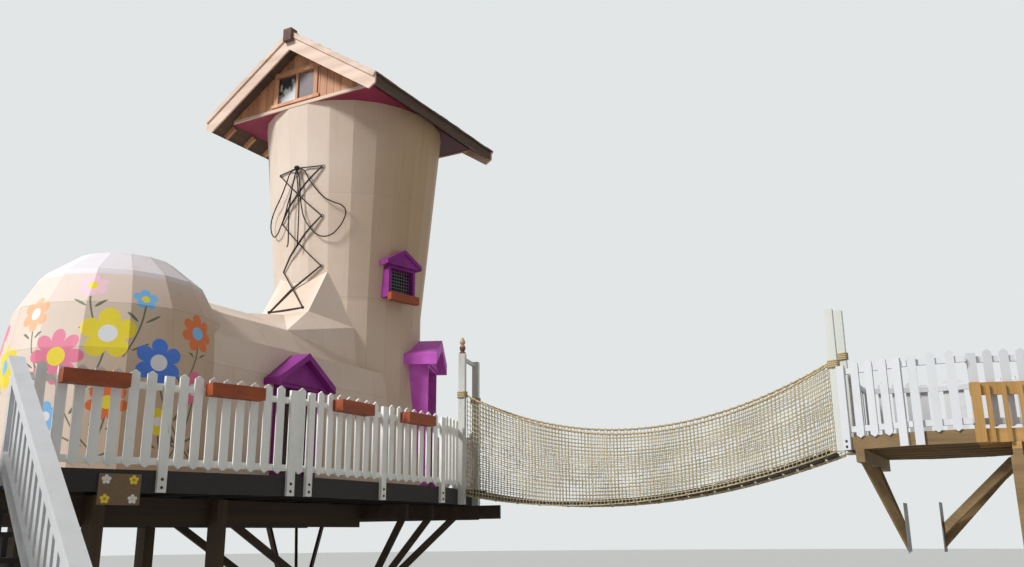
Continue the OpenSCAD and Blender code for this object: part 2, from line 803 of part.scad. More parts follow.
// The instep's outer corners, with their mirror images, and its faces between them
instep_pts = [ridge_start, ramp_low, ramp_side_low, ramp_side, tongue_top, flip_y(tongue_top),
    flip_y(ramp_side), flip_y(ramp_side_low), flip_y(ramp_low), tongue_foot, flip_y(tongue_foot),
    ridge_end];
instep_faces = [[0, 1, 11], [1, 9, 11], [1, 3, 9], [1, 2, 3], [9, 3, 4], [9, 4, 5], [9, 5, 11],
    [11, 5, 10], [10, 5, 6], [10, 6, 8], [8, 6, 7], [10, 8, 11], [11, 8, 0]];
instep_rim = 9;

// The folded panels as one closed shell
module instep_shell() {
    n = len(instep_pts);
    polyhedron(points = concat(instep_pts, [for (p = instep_pts) instep_inner(p)]),
        faces = concat([for (f = instep_faces) backwards(f)],
            [for (f = instep_faces) [for (i = f) i + n]],
            [for (i = [0:instep_rim - 1]) let (j = (i + 1) % instep_rim)
                each [[i, j, n + j], [i, n + j, n + i]]]));
}

module instep_panels() {
    color(boot_colour) on_deck() difference() {
        instep_shell();
        foot_solid(0, -10);
        shaft_lower_solid(0);
        shaft_flare_solid();
    }
}

module shaft_flare_solid() {
    n = shaft_sides;
    a = ring(shaft_r, n, flare_z);
    b = ring(shaft_top_r, n, shaft_h);
    polyhedron(points = concat(a, b), faces = concat([[for (j = [0:n - 1]) j]],
        [[for (j = [n - 1:-1:0]) n + j]],
        [for (j = [0:n - 1], f = quad(j, n + j, n + (j + 1) % n, (j + 1) % n)) f]));
}

// A piece of the lower shaft between two corners, counted round from the heel
module shaft_lower(from, to) {
    difference() {
        intersection() {
            slab(flat_ring(shaft_r, shaft_sides), 0, flare_z);
            sector(from, to, flare_z);
        }
        slab(flat_ring(shaft_r - wall_t, shaft_sides), -1, flare_z + 1);
    }
}

// A wedge from the axis out past the shaft, between two corners
module sector(from, to, high) {
    a = 360 * (from - 0.5) / shaft_sides;
    b = 360 * (to - 0.5) / shaft_sides;
    mid = (a + b) / 2;
    r = 2 * shaft_top_r;
    slab([[0, 0], r * dir(a), 2 * r * dir(mid), r * dir(b)], 0, high);
}

module ankle_cut() {
    intersection() {
        foot_solid(wall_t, -10);
        translate([-toe_x, -2 * foot_w, -10]) cube([toe_x - 200, 4 * foot_w, 3 * foot_w]);
    }
}

door_from = 24 + round((heel_door_az - 22.5) / 15 + 0.5);
door_to = door_from + 3;
// How far out the panel beside the heel portal comes at the floor, and how far round it runs
swell_x = 1173;
swell_turn = -46;

// The opening in the wall for the heel portal
module heel_portal_cut() {
    rotate(heel_door_az) translate([700, -heel_half, -1])
        cube([900, 2 * heel_half, heel_door_h + 21]);
}

// A panel that runs from the wall out to the heel portal, deepest at the floor
module heel_swell() {
    across = -heel_half + 0.01;
    base = (shaft_r - wall_t / 2) * cos(side_step / 2);
    difference() {
        hull() {
            rotate(heel_door_az) {
                for (x = [sqrt(base * base - across * across), swell_x]) translate([x, across - 1, 0]) cube(1);
                translate([sqrt(base * base - across * across) + 20, across - 1, heel_door_h]) cube(1);
            }
            rotate(heel_door_az + swell_turn) translate([base, 0, 0]) cube(1);
        }
        slab(flat_ring(shaft_r - wall_t, shaft_sides), -1, flare_z);
    }
}

module shaft_lower_front() {
    color(boot_colour) on_deck() difference() {
        union() {
            shaft_lower(12, door_from);
            heel_swell();
        }
        ankle_cut();
        heel_portal_cut();
    }
}

module shaft_lower_heel() {
    color(boot_colour) on_deck() difference() {
        shaft_lower(door_from, door_to + 4);
        heel_portal_cut();
    }
}

module shaft_lower_back() {
    color(boot_colour) on_deck() difference() {
        shaft_lower(door_to + 4 - 24, 12);
        ankle_cut();
    }
}

// A piece of the widening part of the shaft
module shaft_upper(from, to) {
    n = shaft_sides;
    grid_shell([ring(shaft_r, n, flare_z, from, to), ring(shaft_top_r, n, shaft_h, from, to)],
        [ring(shaft_r - wall_t, n, flare_z, from, to), ring(shaft_top_r - wall_t, n, shaft_h, from, to)]);
}

module shaft_upper_toe() {
    color(boot_colour) on_deck() shaft_upper(9, 16);
}

module shaft_upper_front() {
    color(boot_colour) on_deck() difference() {
        shaft_upper(16, 21);
        window_cut();
    }
}

module shaft_upper_heel() {
    color(boot_colour) on_deck() shaft_upper(21, 27);
}

module shaft_upper_back() {
    color(boot_colour) on_deck() shaft_upper(3, 9);
}

// Side doorway on the foot

portal_t = 40;
side_front = -1150;
side_half = side_door_w / 2 + portal_t;

module side_portal_cut() {
    translate([-side_door_x - side_half, -2 * foot_w, -1])
        cube([2 * side_half, 2 * foot_w - 300, side_door_h + portal_t + 1]);
}

module side_portal() {
    inside = -foot_w + wall_t;
    color(purple) on_deck() translate([-side_door_x, 0, 0]) difference() {
        translate([-side_half, side_front, 0])
            cube([2 * side_half, inside - side_front, side_door_h + portal_t]);
        translate([-side_door_w / 2, side_front - 1, -1])
            cube([side_door_w, 2 - side_front, side_door_h + 1]);
    }
}

// A gabled hood, drawn with its ridge along local X, with the panel that closes it set back under it
module hood(length, half, rise, t, set_back) {
    rotate([90, 0, 90]) linear_extrude(height = length)
        polygon([[-half, 0], [-half, t], [0, rise + t], [half, t], [half, 0], [0, rise]]);
    translate([set_back, 0, 0]) rotate([90, 0, 90]) linear_extrude(height = 20)
        polygon([[-half + 30, 0], [-half + 30, 30], [0, rise + 5], [half - 30, 30], [half - 30, 0]]);
}

hood_t = 78;
side_hood_half = side_half + 175;
side_hood_rise = 340;
side_hood_out = 120;
side_hood_z = side_door_h;

module side_portal_roof() {
    color(purple) on_deck() difference() {
        translate([-side_door_x, side_front - side_hood_out, side_hood_z]) rotate(90)
            hood(700, side_hood_half, side_hood_rise, hood_t, side_hood_out - 25);
        foot_solid(0, -10);
        translate([-side_door_x - side_half - seat_gap, side_front - side_hood_out - 1, 0])
            cube([2 * (side_half + seat_gap), 700, side_door_h + portal_t]);
    }
}

// Heel doorway, drawn with local X pointing out of the door

heel_front = 1258;
heel_half = heel_door_w / 2 + portal_t;
heel_hood_z = heel_door_h + 20;
heel_hood_t = 150;
heel_hood_rise = 273;
heel_hood_out = 135;

module heel_portal() {
    back_x = 900;
    color(purple) on_deck() rotate(heel_door_az) difference() {
        translate([back_x, -heel_half, 0])
            cube([heel_front - back_x, 2 * heel_half, heel_door_h + portal_t]);
        translate([back_x - 1, -heel_door_w / 2, -1])
            cube([heel_front, heel_door_w, heel_door_h + 1]);
        rotate(-heel_door_az) slab(flat_ring(shaft_r, shaft_sides), heel_door_h + 20, shaft_h);
    }
}

module heel_portal_roof() {
    color(purple) on_deck() difference() {
        rotate(heel_door_az) translate([heel_front + heel_hood_out, 0, heel_hood_z]) rotate(180)
            hood(560, heel_half + 115, heel_hood_rise, heel_hood_t, heel_hood_out - 25);
        slab(flat_ring(shaft_r, shaft_sides), -1, flare_z);
        rotate(heel_door_az) translate([900, -heel_half - seat_gap, 0])
            cube([900, 2 * (heel_half + seat_gap), heel_door_h + portal_t]);
    }
}

// Window in the shaft, drawn with local X pointing out of it

frame_in = shaft_r - wall_t - 20;
frame_out = 1185;
frame_t = 40;
window_hood_out = 60;
window_hood_t = 62;
window_hood_rise = 186;
window_hood_half = window_w / 2 + 110;

module window_cut() {
    rotate(window_az) translate([frame_in - 200, -window_w / 2 - frame_t, window_z - frame_t])
        cube([900, window_w + 2 * frame_t, window_h + 2 * frame_t]);
}

module shaft_window() {
    color(purple) on_deck() rotate(window_az) difference() {
        translate([frame_in, -window_w / 2 - frame_t, window_z - frame_t])
            cube([frame_out - frame_in, window_w + 2 * frame_t, window_h + 2 * frame_t]);
        translate([frame_in - 1, -window_w / 2, window_z])
            cube([frame_out, window_w, window_h]);
    }
}

module shaft_window_hood() {
    color(purple) on_deck() difference() {
        rotate(window_az) translate([frame_out + window_hood_out, 0, window_z + window_h + frame_t])
            rotate(180) hood(360, window_hood_half, window_hood_rise, window_hood_t, 15);
        shaft_flare_solid();
    }
}

sill_h = 110;

module window_sill() {
    color(cedar) on_deck() rotate(window_az)
        translate([frame_out, -window_w / 2 - frame_t - 15, window_z - frame_t - sill_h + 50])
            cube([80, window_w + 2 * frame_t + 30, sill_h]);
}

// A grid of square wire in the window
module window_grille() {
    wire = 5;
    cells = 9;
    pitch = window_w / cells;
    rows = round(window_h / pitch);
    color("gray") on_deck() rotate(window_az) translate([frame_out - 70, 0, 0]) {
        for (i = [0:cells - 1])
            translate([0, -window_w / 2 + pitch * (i + 0.5) - wire / 2, window_z])
                cube([wire, wire, window_h]);
        for (i = [0:rows - 1])
            translate([0, -window_w / 2, window_z + window_h * (i + 0.5) / rows - wire / 2])
                cube([wire, window_w, wire]);
    }
}

// Roof

gable_x = shaft_top_r - gable_in;
ridge_z = shaft_h + ridge_up;
eave_z = ridge_z - roof_rise * roof_w;
soffit_t = 20;
soffit_w = (ridge_z - roof_t - shaft_h) / roof_rise;

module roof_hole() {
    translate([0, 0, shaft_h - ridge_up]) cylinder(r = roof_hole_r, h = 3 * ridge_up, $fn = 48);
}

module soffit() {
    half = soffit_w - soffit_t / roof_rise - 2;
    color(purple) on_deck() difference() {
        translate([-gable_x, -half, shaft_h]) cube([2 * gable_x, 2 * half, soffit_t]);
        roof_hole();
    }
}

// One slope of the roof, on the side given by s
module roof_slope(s) {
    difference() {
        translate([-gable_x - roof_over, 0, 0]) rotate([90, 0, 90])
            linear_extrude(height = 2 * (gable_x + roof_over))
            polygon([[0, ridge_z - roof_t], [0, ridge_z], [s * roof_w, eave_z],
                [s * roof_w, eave_z - roof_t]]);
        roof_hole();
    }
}

module roof_front() {
    color("saddlebrown") on_deck() roof_slope(-1);
}

module roof_back() {
    color("saddlebrown") on_deck() roof_slope(1);
}

gable_t = 60;
gable_win_y = 60;
gable_win_z = shaft_h + soffit_t + 45;

// The triangle between the soffit and the roof
module gable_tri() {
    half = soffit_w - soffit_t / roof_rise;
    rotate([90, 0, 90]) linear_extrude(height = gable_t)
        polygon([[-half, shaft_h + soffit_t], [half, shaft_h + soffit_t], [0, ridge_z - roof_t]]);
}

module gable_walls() {
    color(cedar) on_deck() {
        translate([gable_x - gable_t, 0, 0]) gable_tri();
        difference() {
            translate([-gable_x, 0, 0]) gable_tri();
            translate([-gable_x - 1, gable_win_y - gable_win_w / 2, gable_win_z])
                cube([gable_t + 2, gable_win_w, gable_win_h]);
        }
    }
}

// The sloping boards at the roof's two ends
module fascia_end(x) {
    top = ridge_z + 12;
    translate([x, 0, 0]) rotate([90, 0, 90]) linear_extrude(height = fascia_t)
        polygon([[0, top], [roof_w + 15, top - roof_rise * (roof_w + 15)],
            [roof_w + 15, top - roof_rise * (roof_w + 15) - fascia_h * 0.6],
            [roof_w - 95, top - roof_rise * (roof_w - 95) - fascia_h * 1.2],
            [0, top - fascia_h * 1.2],
            [95 - roof_w, top - roof_rise * (roof_w - 95) - fascia_h * 1.2],
            [-roof_w - 15, top - roof_rise * (roof_w + 15) - fascia_h * 0.6],
            [-roof_w - 15, top - roof_rise * (roof_w + 15)]]);
}

module fascia_boards() {
    color([0.92, 0.76, 0.64]) on_deck() {
        fascia_end(-gable_x - roof_over - fascia_t);
        fascia_end(gable_x + roof_over);
    }
}

module gable_window() {
    bar = 40;
    color(cedar) on_deck() translate([-gable_x - 15, gable_win_y - gable_win_w / 2, gable_win_z])
        difference() {
            cube([gable_t, gable_win_w, gable_win_h]);
            for (k = [0, 1])
                translate([-1, bar + k * (gable_win_w - bar) / 2, bar])
                    cube([gable_t + 2, (gable_win_w - 3 * bar) / 2, gable_win_h - 2 * bar]);
        }
}

module window_panes() {
    bar = 40;
    color("lightblue") on_deck() for (k = [0, 1])
        translate([-gable_x + 10, gable_win_y - gable_win_w / 2 + bar + k * (gable_win_w - bar) / 2,
            gable_win_z + bar])
            cube([6, (gable_win_w - 3 * bar) / 2, gable_win_h - 2 * bar]);
}

// Bridge

far_rope_x = bridge_x + bridge_w;
far_end_y = -bridge_far;
hand_start_z = 1280;
hand_end_z = [platform_z + 840, platform_z + 1030];
foot_in = 60;
floor_start_z = -60;
floor_end_z = platform_z - 100;
rope_steps = 24;

// The near ends of the ropes: the hand ropes' at the posts' faces, the foot ropes' at the rim
function rim_y(x) = deck_d[1] + (x + front_end) * tan(heel_bend);
function hand_start(x) = rim_y(x - bridge_post_w * sin(heel_bend)) - bridge_post_w * cos(heel_bend);
foot_start = rim_y(bridge_x) - 20;

// Height of a hanging line between two ends, at a share of its length
function hang(a, b, sag, u) = a + (b - a) * u - 4 * sag * u * (1 - u);
// Height of the foot ropes at a distance across the bridge's span
function floor_z(y) =
    hang(floor_start_z, floor_end_z, floor_sag, (foot_start - y) / (foot_start - far_end_y));
// Height of a hand rope, given by its side, 0 or 1
function hand_z(k, y) = let (a = hand_start(k == 0 ? bridge_x : far_rope_x), b = far_end_y + bridge_post_w)
    hang(hand_start_z, hand_end_z[k], k == 0 ? hand_sag + 20 : hand_sag - 20, (a - y) / (a - b));

// A round rope swept along points that lie in an upright plane across X
module rope(pts, d, sides = 8) {
    n = len(pts);
    pitch_at = [for (i = [0:n - 1])
        let (a = pts[max(i - 1, 0)], b = pts[min(i + 1, n - 1)]) atan2(b[2] - a[2], a[1] - b[1])];
    rings = [for (i = [0:n - 1], k = [0:sides - 1])
        let (c = d / 2 * cos(360 * k / sides), s = d / 2 * sin(360 * k / sides))
        pts[i] + [c, s * sin(pitch_at[i]), s * cos(pitch_at[i])]];
    faces = concat([[for (k = [0:sides - 1]) k]],
        [[for (k = [sides - 1:-1:0]) (n - 1) * sides + k]],
        [for (i = [0:n - 2], k = [0:sides - 1], f = quad(i * sides + k, (i + 1) * sides + k,
            (i + 1) * sides + (k + 1) % sides, i * sides + (k + 1) % sides)) f]);
    polyhedron(points = rings, faces = faces);
}

module bridge_posts() {
    w = bridge_post_w;
    color(white_paint) on_deck() {
        on_edge(deck_outline, bridge_edge) {
            for (x = [bridge_s, bridge_far_s])
                translate([x - w / 2, -w, -rim_h]) cube([w, w, rim_h + bridge_post_h]);
            translate([bridge_s + w / 2, -w / 2, bridge_post_h - 75])
                cube([bridge_far_s - bridge_s - w, lumber_t, 50]);
        }
        for (k = [0, 1])
            translate([(k == 0 ? bridge_x : far_rope_x) - w / 2, far_end_y, platform_z - platform_rim_h])
                cube([w, w, platform_rim_h + far_post_h[k]]);
    }
    color("peru") on_deck() on_edge(deck_outline, bridge_edge)
        translate([bridge_s, -w / 2, bridge_post_h]) rotate_extrude($fn = 32)
            polygon([[0, 0], [43, 0], [43, 22], [26, 36], [38, 60], [43, 90], [32, 118], [23, 128],
                [36, 150], [40, 170], [26, 205], [0, 245]]);
}

far_post_h = [1480, 1600];
collar_h = 70;

// The turns of a rope round a post
module rope_collar(w) {
    gap = 2 * seat_gap;
    outer = w + 2 * rope_d;
    difference() {
        translate([-outer / 2, -outer / 2, -collar_h / 2]) cube([outer, outer, collar_h]);
        translate([-w / 2 - gap, -w / 2 - gap, -collar_h]) cube([w + 2 * gap, w + 2 * gap, 2 * collar_h]);
    }
}

// Distances across the bridge at which the steps of a rope lie, from one end to the other
function steps(a, b) = [for (i = [0:rope_steps]) a + (b - a) * i / rope_steps];

module bridge_ropes() {
    w = bridge_post_w;
    color(rope_colour) on_deck() for (k = [0, 1]) {
        x = k == 0 ? bridge_x : far_rope_x;
        foot_x = k == 0 ? bridge_x + foot_in : far_rope_x - foot_in;
        a = hand_start(x) - rope_d / 2;
        b = far_end_y + w + rope_d / 2;
        rope([for (y = steps(a, b)) [x, y, hand_z(k, y)]], rope_d);
        on_edge(deck_outline, bridge_edge)
            translate([k == 0 ? bridge_s : bridge_far_s, -w / 2, hand_start_z]) rope_collar(w);
        translate([x, far_end_y + w / 2, hand_end_z[k]]) rope_collar(w);
        c = rim_y(foot_x) - rope_d / 2 * tan(heel_bend) - seat_gap;
        rope([for (y = steps(c, far_end_y + seat_gap)) [foot_x, y, floor_z(y)]], rope_d);
    }
}

plank_first = 10;
plank_last = bridge_post_w + 20;
plank_seat = 0.8;
net_seat = 4;
plank_t = 32;

module bridge_planks() {
    start = hand_start(bridge_x);
    y0 = start - plank_first - plank_w / 2;
    count = floor((y0 - far_end_y - plank_last - plank_w / 2) / plank_pitch);
    in = net_t / 2 + 1;
    color(stain) on_deck() {
        for (i = [0:count]) {
            y = y0 - i * plank_pitch;
            slope = atan2(floor_z(y - 50) - floor_z(y + 50), 100);
            translate([bridge_x + in, y, floor_z(y)]) rotate([-slope, 0, 0])
                translate([0, -plank_w / 2, rope_d / 2 + plank_seat])
                cube([bridge_w - 2 * in, plank_w, plank_t]);
        }
        near = bridge_x + bridge_post_w / 2 + 4;
        last = far_rope_x - bridge_post_w / 2 - post_shift - 4;
        slab([[near, start], [last, start], [last, rim_y(last)], [near, rim_y(near)]], -board_t, 0);
    }
}

// The side nets, as thin sheets that hang from the hand ropes past the planks' ends
module side_nets() {
    color(rope_colour) on_deck() for (k = [0, 1]) {
        x = k == 0 ? bridge_x : far_rope_x;
        a = hand_start(x) - rope_d - net_seat;
        b = far_end_y + bridge_post_w + rope_d + net_seat;
        top = [for (y = steps(a, b)) [y, hand_z(k, y) - rope_d / 2 - plank_seat]];
        under = [for (y = steps(b, a)) [y, floor_z(y) - rope_d / 2]];
        translate([x - net_t / 2, 0, 0]) rotate([90, 0, 90]) linear_extrude(height = net_t)
            polygon(concat(top, under));
    }
}

// Second platform

platform_x = 1240;
plat_near = far_end_y;
platform_hole = [850, plat_near - platform_hole_y];
plate_reach = platform_hole_r - 25;
plat_half = [[-platform_w + 240, 0], [-platform_w, 760], [-platform_w + 20, 1330],
    [-platform_w + 330, 2250], [-platform_w + 700, platform_l]];
plat_left = [for (p = plat_half) [platform_x + p[0], plat_near - p[1]]];
plat_outline = concat(plat_left,
    [for (i = [len(plat_half) - 1:-1:0]) [2 * platform_x - plat_left[i][0], plat_left[i][1]]]);

module platform_floor() {
    color(cedar) on_deck() difference() {
        slab(inset(plat_outline, lumber_t), platform_z - board_t, platform_z);
        translate([platform_hole[0], platform_hole[1], platform_z - 2 * board_t])
            cylinder(r = platform_hole_r, h = 4 * board_t, $fn = 48);
    }
}

platform_low = platform_z - platform_rim_h;
platform_joist_pitch = 400;
platform_beam_h = 140;
platform_beam_in = 170;
platform_beam_gap = 1520;
platform_beams = [plat_near - platform_beam_in, plat_near - platform_beam_in - platform_beam_gap];
platform_beam_l = 2000;
platform_post_x = 940;

module platform_frame() {
    color(cedar) on_deck() {
        difference() {
            slab(plat_outline, platform_low, platform_z);
            slab(inset(plat_outline, lumber_t), platform_low - 1, platform_z + 1);
        }
        difference() {
            intersection() {
                slab(inset(plat_outline, lumber_t), platform_low, platform_z - board_t);
                union() for (k = [-2:2])
                    translate([platform_x + k * platform_joist_pitch - lumber_t / 2,
                        plat_near - platform_l, platform_low])
                        cube([lumber_t, platform_l, platform_rim_h]);
            }
            translate([platform_hole[0], platform_hole[1], platform_low - 1])
                cylinder(r = platform_hole_r, h = platform_rim_h, $fn = 48);
        }
        for (y = platform_beams)
            translate([platform_x - platform_beam_l / 2, y - picket_w / 2, platform_low - platform_beam_h])
                cube([platform_beam_l, picket_w, platform_beam_h]);
        for (s = [-1, 1])
            translate([platform_x + s * platform_post_x, platform_beams[1], -deck_h])
                translate([-post_w / 2, -post_w / 2, 0])
                cube([post_w, post_w, deck_h + platform_low - platform_beam_h]);
    }
}

platform_brace_pitch = 70;
platform_brace_spread = [380, 420];
platform_brace_z = 110;
platform_brace_step = 120;

module platform_braces() {
    top = platform_low - platform_beam_h;
    face = plate_reach + plate_t;
    low = platform_plate_z + platform_brace_z;
    hole = platform_hole;
    color(cedar) on_deck() {
        for (k = [-1, 0, 1])
            knee([hole[0] + k * platform_brace_pitch, hole[1] - face, low + platform_brace_step * abs(k)],
                [hole[0] + k * platform_brace_spread[1], platform_beams[1] + lumber_t / 2, top],
                -1, top, hole[1] - face);
        for (k = [-1, 1])
            knee([hole[0] + k * platform_brace_pitch, hole[1] + face, low],
                [hole[0] + k * platform_brace_spread[0], platform_beams[0] - lumber_t / 2, top],
                1, top, hole[1] + face);
    }
}

module platform_fence() {
    beside_bridge = 2 * platform_x - plat_left[0][0] - far_rope_x - bridge_gap;
    $rail_drop = 45;
    $top_drop = platform_fence_drop;
    $foot_drop = 40;
    color(white_paint) on_deck() translate([0, 0, platform_z]) {
        fence_edge(plat_outline, 0, [corner_post, edge_len(plat_outline, 0) - 110], platform_rim_h);
        fence_edge(plat_outline, 1, [corner_post], platform_rim_h);
        for (i = [4:8])
            fence_edge(plat_outline, i, [post_in, edge_len(plat_outline, i) - post_in], platform_rim_h);
        fence_span(plat_outline, 9, corner_gap(plat_outline, 9), beside_bridge, [post_in, beside_bridge / 2],
            platform_rim_h);
        // Behind the landing's railing it stands on the floor
        for (i = [2, 3]) let ($foot_drop = 0, pts = inset(plat_outline, landing_gap))
            fence_edge(pts, i, [post_in, edge_len(pts, i) - post_in], 0);
    }
}

// The unpainted railing on the platform's newest side
module landing_rail() {
    color([0.82, 0.64, 0.36]) on_deck() translate([0, 0, platform_z])
        for (i = [2, 3]) plain_rail(plat_outline, i);
}

landing_gap = 2 * lumber_t + 6;
landing_pitch = 145;
landing_top_h = 130;

module plain_rail(pts, i) {
    from = corner_gap(pts, i);
    to = edge_len(pts, i) - corner_gap(pts, i + 1);
    n = floor((to - from) / landing_pitch);
    on_edge(pts, i) {
        translate([from, 0, landing_h - landing_top_h]) cube([to - from, lumber_t, landing_top_h]);
        for (x = [from, to - picket_w])
            translate([x, -lumber_t, -platform_rim_h])
                cube([picket_w, lumber_t, platform_rim_h + landing_h]);
        for (k = [1:n - 1])
            translate([from + (to - from) * k / n - lumber_t / 2, -lumber_t, -platform_rim_h])
                cube([lumber_t, lumber_t, platform_rim_h + landing_h - 20]);
    }
}

// Laces

// A round rope through points anywhere in space
module cord(pts, d, sides = 8) {
    n = len(pts);
    tang = [for (i = [0:n - 1])
        let (v = pts[min(i + 1, n - 1)] - pts[max(i - 1, 0)]) v / norm(v)];
    rings = [for (i = [0:n - 1]) let (w = pts[i], out = [w[0], w[1], 0] / norm([w[0], w[1]]),
        s = cross(tang[i], out), u = s / norm(s), o = cross(u, tang[i]))
        for (k = [0:sides - 1]) w + d / 2 * (cos(360 * k / sides) * u + sin(360 * k / sides) * o)];
    faces = concat([[for (k = [0:sides - 1]) k]],
        [[for (k = [sides - 1:-1:0]) (n - 1) * sides + k]],
        [for (i = [0:n - 2], k = [0:sides - 1], f = quad(i * sides + k, (i + 1) * sides + k,
            (i + 1) * sides + (k + 1) % sides, i * sides + (k + 1) % sides)) f]);
    polyhedron(points = rings, faces = [for (f = faces) backwards(f)]);
}

// Radius of the shaft to its corners at a height
function radius_at(z) = z < flare_z ? shaft_r :
    shaft_r + (shaft_top_r - shaft_r) * (z - flare_z) / (shaft_h - flare_z);
side_step = 360 / shaft_sides;
// Distance of the shaft's flat sides from its axis, at a height and a bearing
function shaft_at(z, az) =
    radius_at(z) * cos(side_step / 2) / cos(az - side_step * round(az / side_step));
// The bearing of a place on the toe side, at a distance across and a height
function lace_az(across, z) = 180 - asin(across / radius_at(z));
// A point on the toe side of the shaft, at a distance across and a height, standing off by a gap
function on_shaft(across, z, off) = let (r = shaft_at(z, lace_az(across, z)) + off)
    [-sqrt(r * r - across * across), across, z];

eyelet_r = 26;
eyelet_t = 10;
lace_rows = [[386, 4404], [358, 3694], [335, 2990]];
lace_off = eyelet_t + lace_d / 2 + seat_gap;
lace_low = tongue_foot + [40 - lace_d / 2, 132, 72];
knot_at = on_shaft(-10, 4405, 3.2 * lace_d);
knot_r = 40;

module eyelets() {
    lean = atan2((shaft_top_r - shaft_r) * cos(side_step / 2), shaft_h - flare_z);
    color("gray") on_deck() for (row = lace_rows, s = [-1, 1]) {
        az = side_step * round(lace_az(s * row[0], row[1]) / side_step);
        translate(on_shaft(s * row[0], row[1], 2 * seat_gap)) rotate([0, 90 + lean, az])
            difference() {
                cylinder(r = eyelet_r, h = eyelet_t, $fn = 32);
                translate([0, 0, -1]) cylinder(r = eyelet_r / 2.5, h = eyelet_t + 2, $fn = 32);
            }
    }
}

// A straight run of lace between two places on the shaft, bowed out where it crosses another
function shaft_run(p, q, bulge) = [for (i = [0:6]) let (u = i / 6)
    on_shaft(p[0] + (q[0] - p[0]) * u, p[1] + (q[1] - p[1]) * u, lace_off + bulge * sin(180 * u))];
function plain_run(a, b, bulge) =
    [for (i = [0:6]) let (u = i / 6) a + (b - a) * u - [bulge * sin(180 * u), 0, 0]];

// The crossed lacing and the knot at its top
module lacing() {
    color("dimgray") on_deck() {
        for (s = [-1, 1]) {
            bulge = s > 0 ? 0 : 1.2 * lace_d;
            top = [s * lace_rows[0][0], lace_rows[0][1]];
            for (i = [0:len(lace_rows) - 2])
                cord(shaft_run([s * lace_rows[i][0], lace_rows[i][1]],
                    [-s * lace_rows[i + 1][0], lace_rows[i + 1][1]], bulge), lace_d);
            last = lace_rows[len(lace_rows) - 1];
            cord(plain_run(on_shaft(s * last[0], last[1], lace_off),
                [lace_low[0], -s * lace_low[1], lace_low[2]], bulge), lace_d);
            cord(plain_run(on_shaft(top[0], top[1], lace_off), knot_at, 0), lace_d);
        }
        cord(plain_run([lace_low[0], -lace_low[1], lace_low[2]], lace_low, 0), lace_d);
        translate(knot_at) sphere(r = knot_r, $fn = 32);
    }
}

// Routes of the bow's loops and the lace's ends, as distances across the shaft and heights
loop_right = [[-130, 4360], [-215, 4210], [-325, 4050], [-440, 3925], [-550, 3860], [-645, 3815],
    [-690, 3735], [-665, 3620], [-595, 3495], [-505, 3405], [-390, 3385], [-290, 3440], [-195, 3550],
    [-125, 3675], [-85, 3830], [-65, 3980], [-60, 4140], [-45, 4280]];
loop_left = [[95, 4370], [195, 4220], [315, 4070], [455, 3925], [575, 3845], [640, 3760], [640, 3660],
    [570, 3560], [460, 3525], [335, 3640], [225, 3800], [165, 3920], [110, 4050], [65, 4190], [35, 4290]];
end_right = [[-25, 4300], [-32, 4230], [-38, 4150], [-46, 4060], [-52, 3970], [-54, 3880], [-52, 3790],
    [-47, 3700], [-41, 3610], [-34, 3520], [-27, 3430], [-20, 3350], [-12, 3300], [4, 3262]];
end_left = [[10, 4300], [30, 4230], [50, 4170], [68, 4110], [86, 4030], [103, 3950], [118, 3865],
    [129, 3770], [135, 3670], [139, 3570], [142, 3460], [147, 3380], [158, 3325], [182, 3300]];
loop_off = 3.2 * lace_d;
end_off = 4.3 * lace_d;

// The point where a strand that heads for another point leaves the knot
function knot_exit(p) = knot_at + (p - knot_at) * (knot_r + seat_gap) / norm(p - knot_at);
// A strand's whole route, from the knot and, for a loop, back to it
function strand(route, off, closed) = let (pts = [for (p = route) on_shaft(p[0], p[1], off)])
    concat([knot_exit(pts[0])], pts, closed ? [knot_exit(pts[len(pts) - 1])] : []);

module bow_loop_right() {
    color("dimgray") on_deck() cord(strand(loop_right, loop_off, true), lace_d);
}

module bow_loop_left() {
    color("dimgray") on_deck() cord(strand(loop_left, loop_off, true), lace_d);
}

module lace_end_right() {
    color("dimgray") on_deck() cord(strand(end_right, end_off, false), lace_d);
}

module lace_end_left() {
    color("dimgray") on_deck() cord(strand(end_left, end_off, false), lace_d);
}

deck_boards();
deck_rim();
deck_joists();
deck_beams();
deck_posts();
knee_braces();
brace_plates();
fence_front_left();
fence_front_right();
fence_heel();
fence_back();
fence_toe();
flower_boxes();
sign_board();
stair_stringers();
stair_treads();
stair_rails();
toe_dome();
toe_wall();
foot_vault();
foot_walls();
instep_panels();
shaft_lower_front();
shaft_lower_heel();
shaft_lower_back();
shaft_upper_toe();
shaft_upper_front();
shaft_upper_heel();
shaft_upper_back();
side_portal();
side_portal_roof();
heel_portal();
heel_portal_roof();
shaft_window();
shaft_window_hood();
window_sill();
window_grille();
soffit();
roof_front();
roof_back();
gable_walls();
fascia_boards();
gable_window();
window_panes();
bridge_posts();
bridge_ropes();
bridge_planks();
side_nets();
platform_floor();
platform_frame();
platform_braces();
platform_fence();
landing_rail();
eyelets();
lacing();
bow_loop_right();
bow_loop_left();
lace_end_right();
lace_end_left();
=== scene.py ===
import math
import random

import bpy
from mathutils import Matrix, Vector


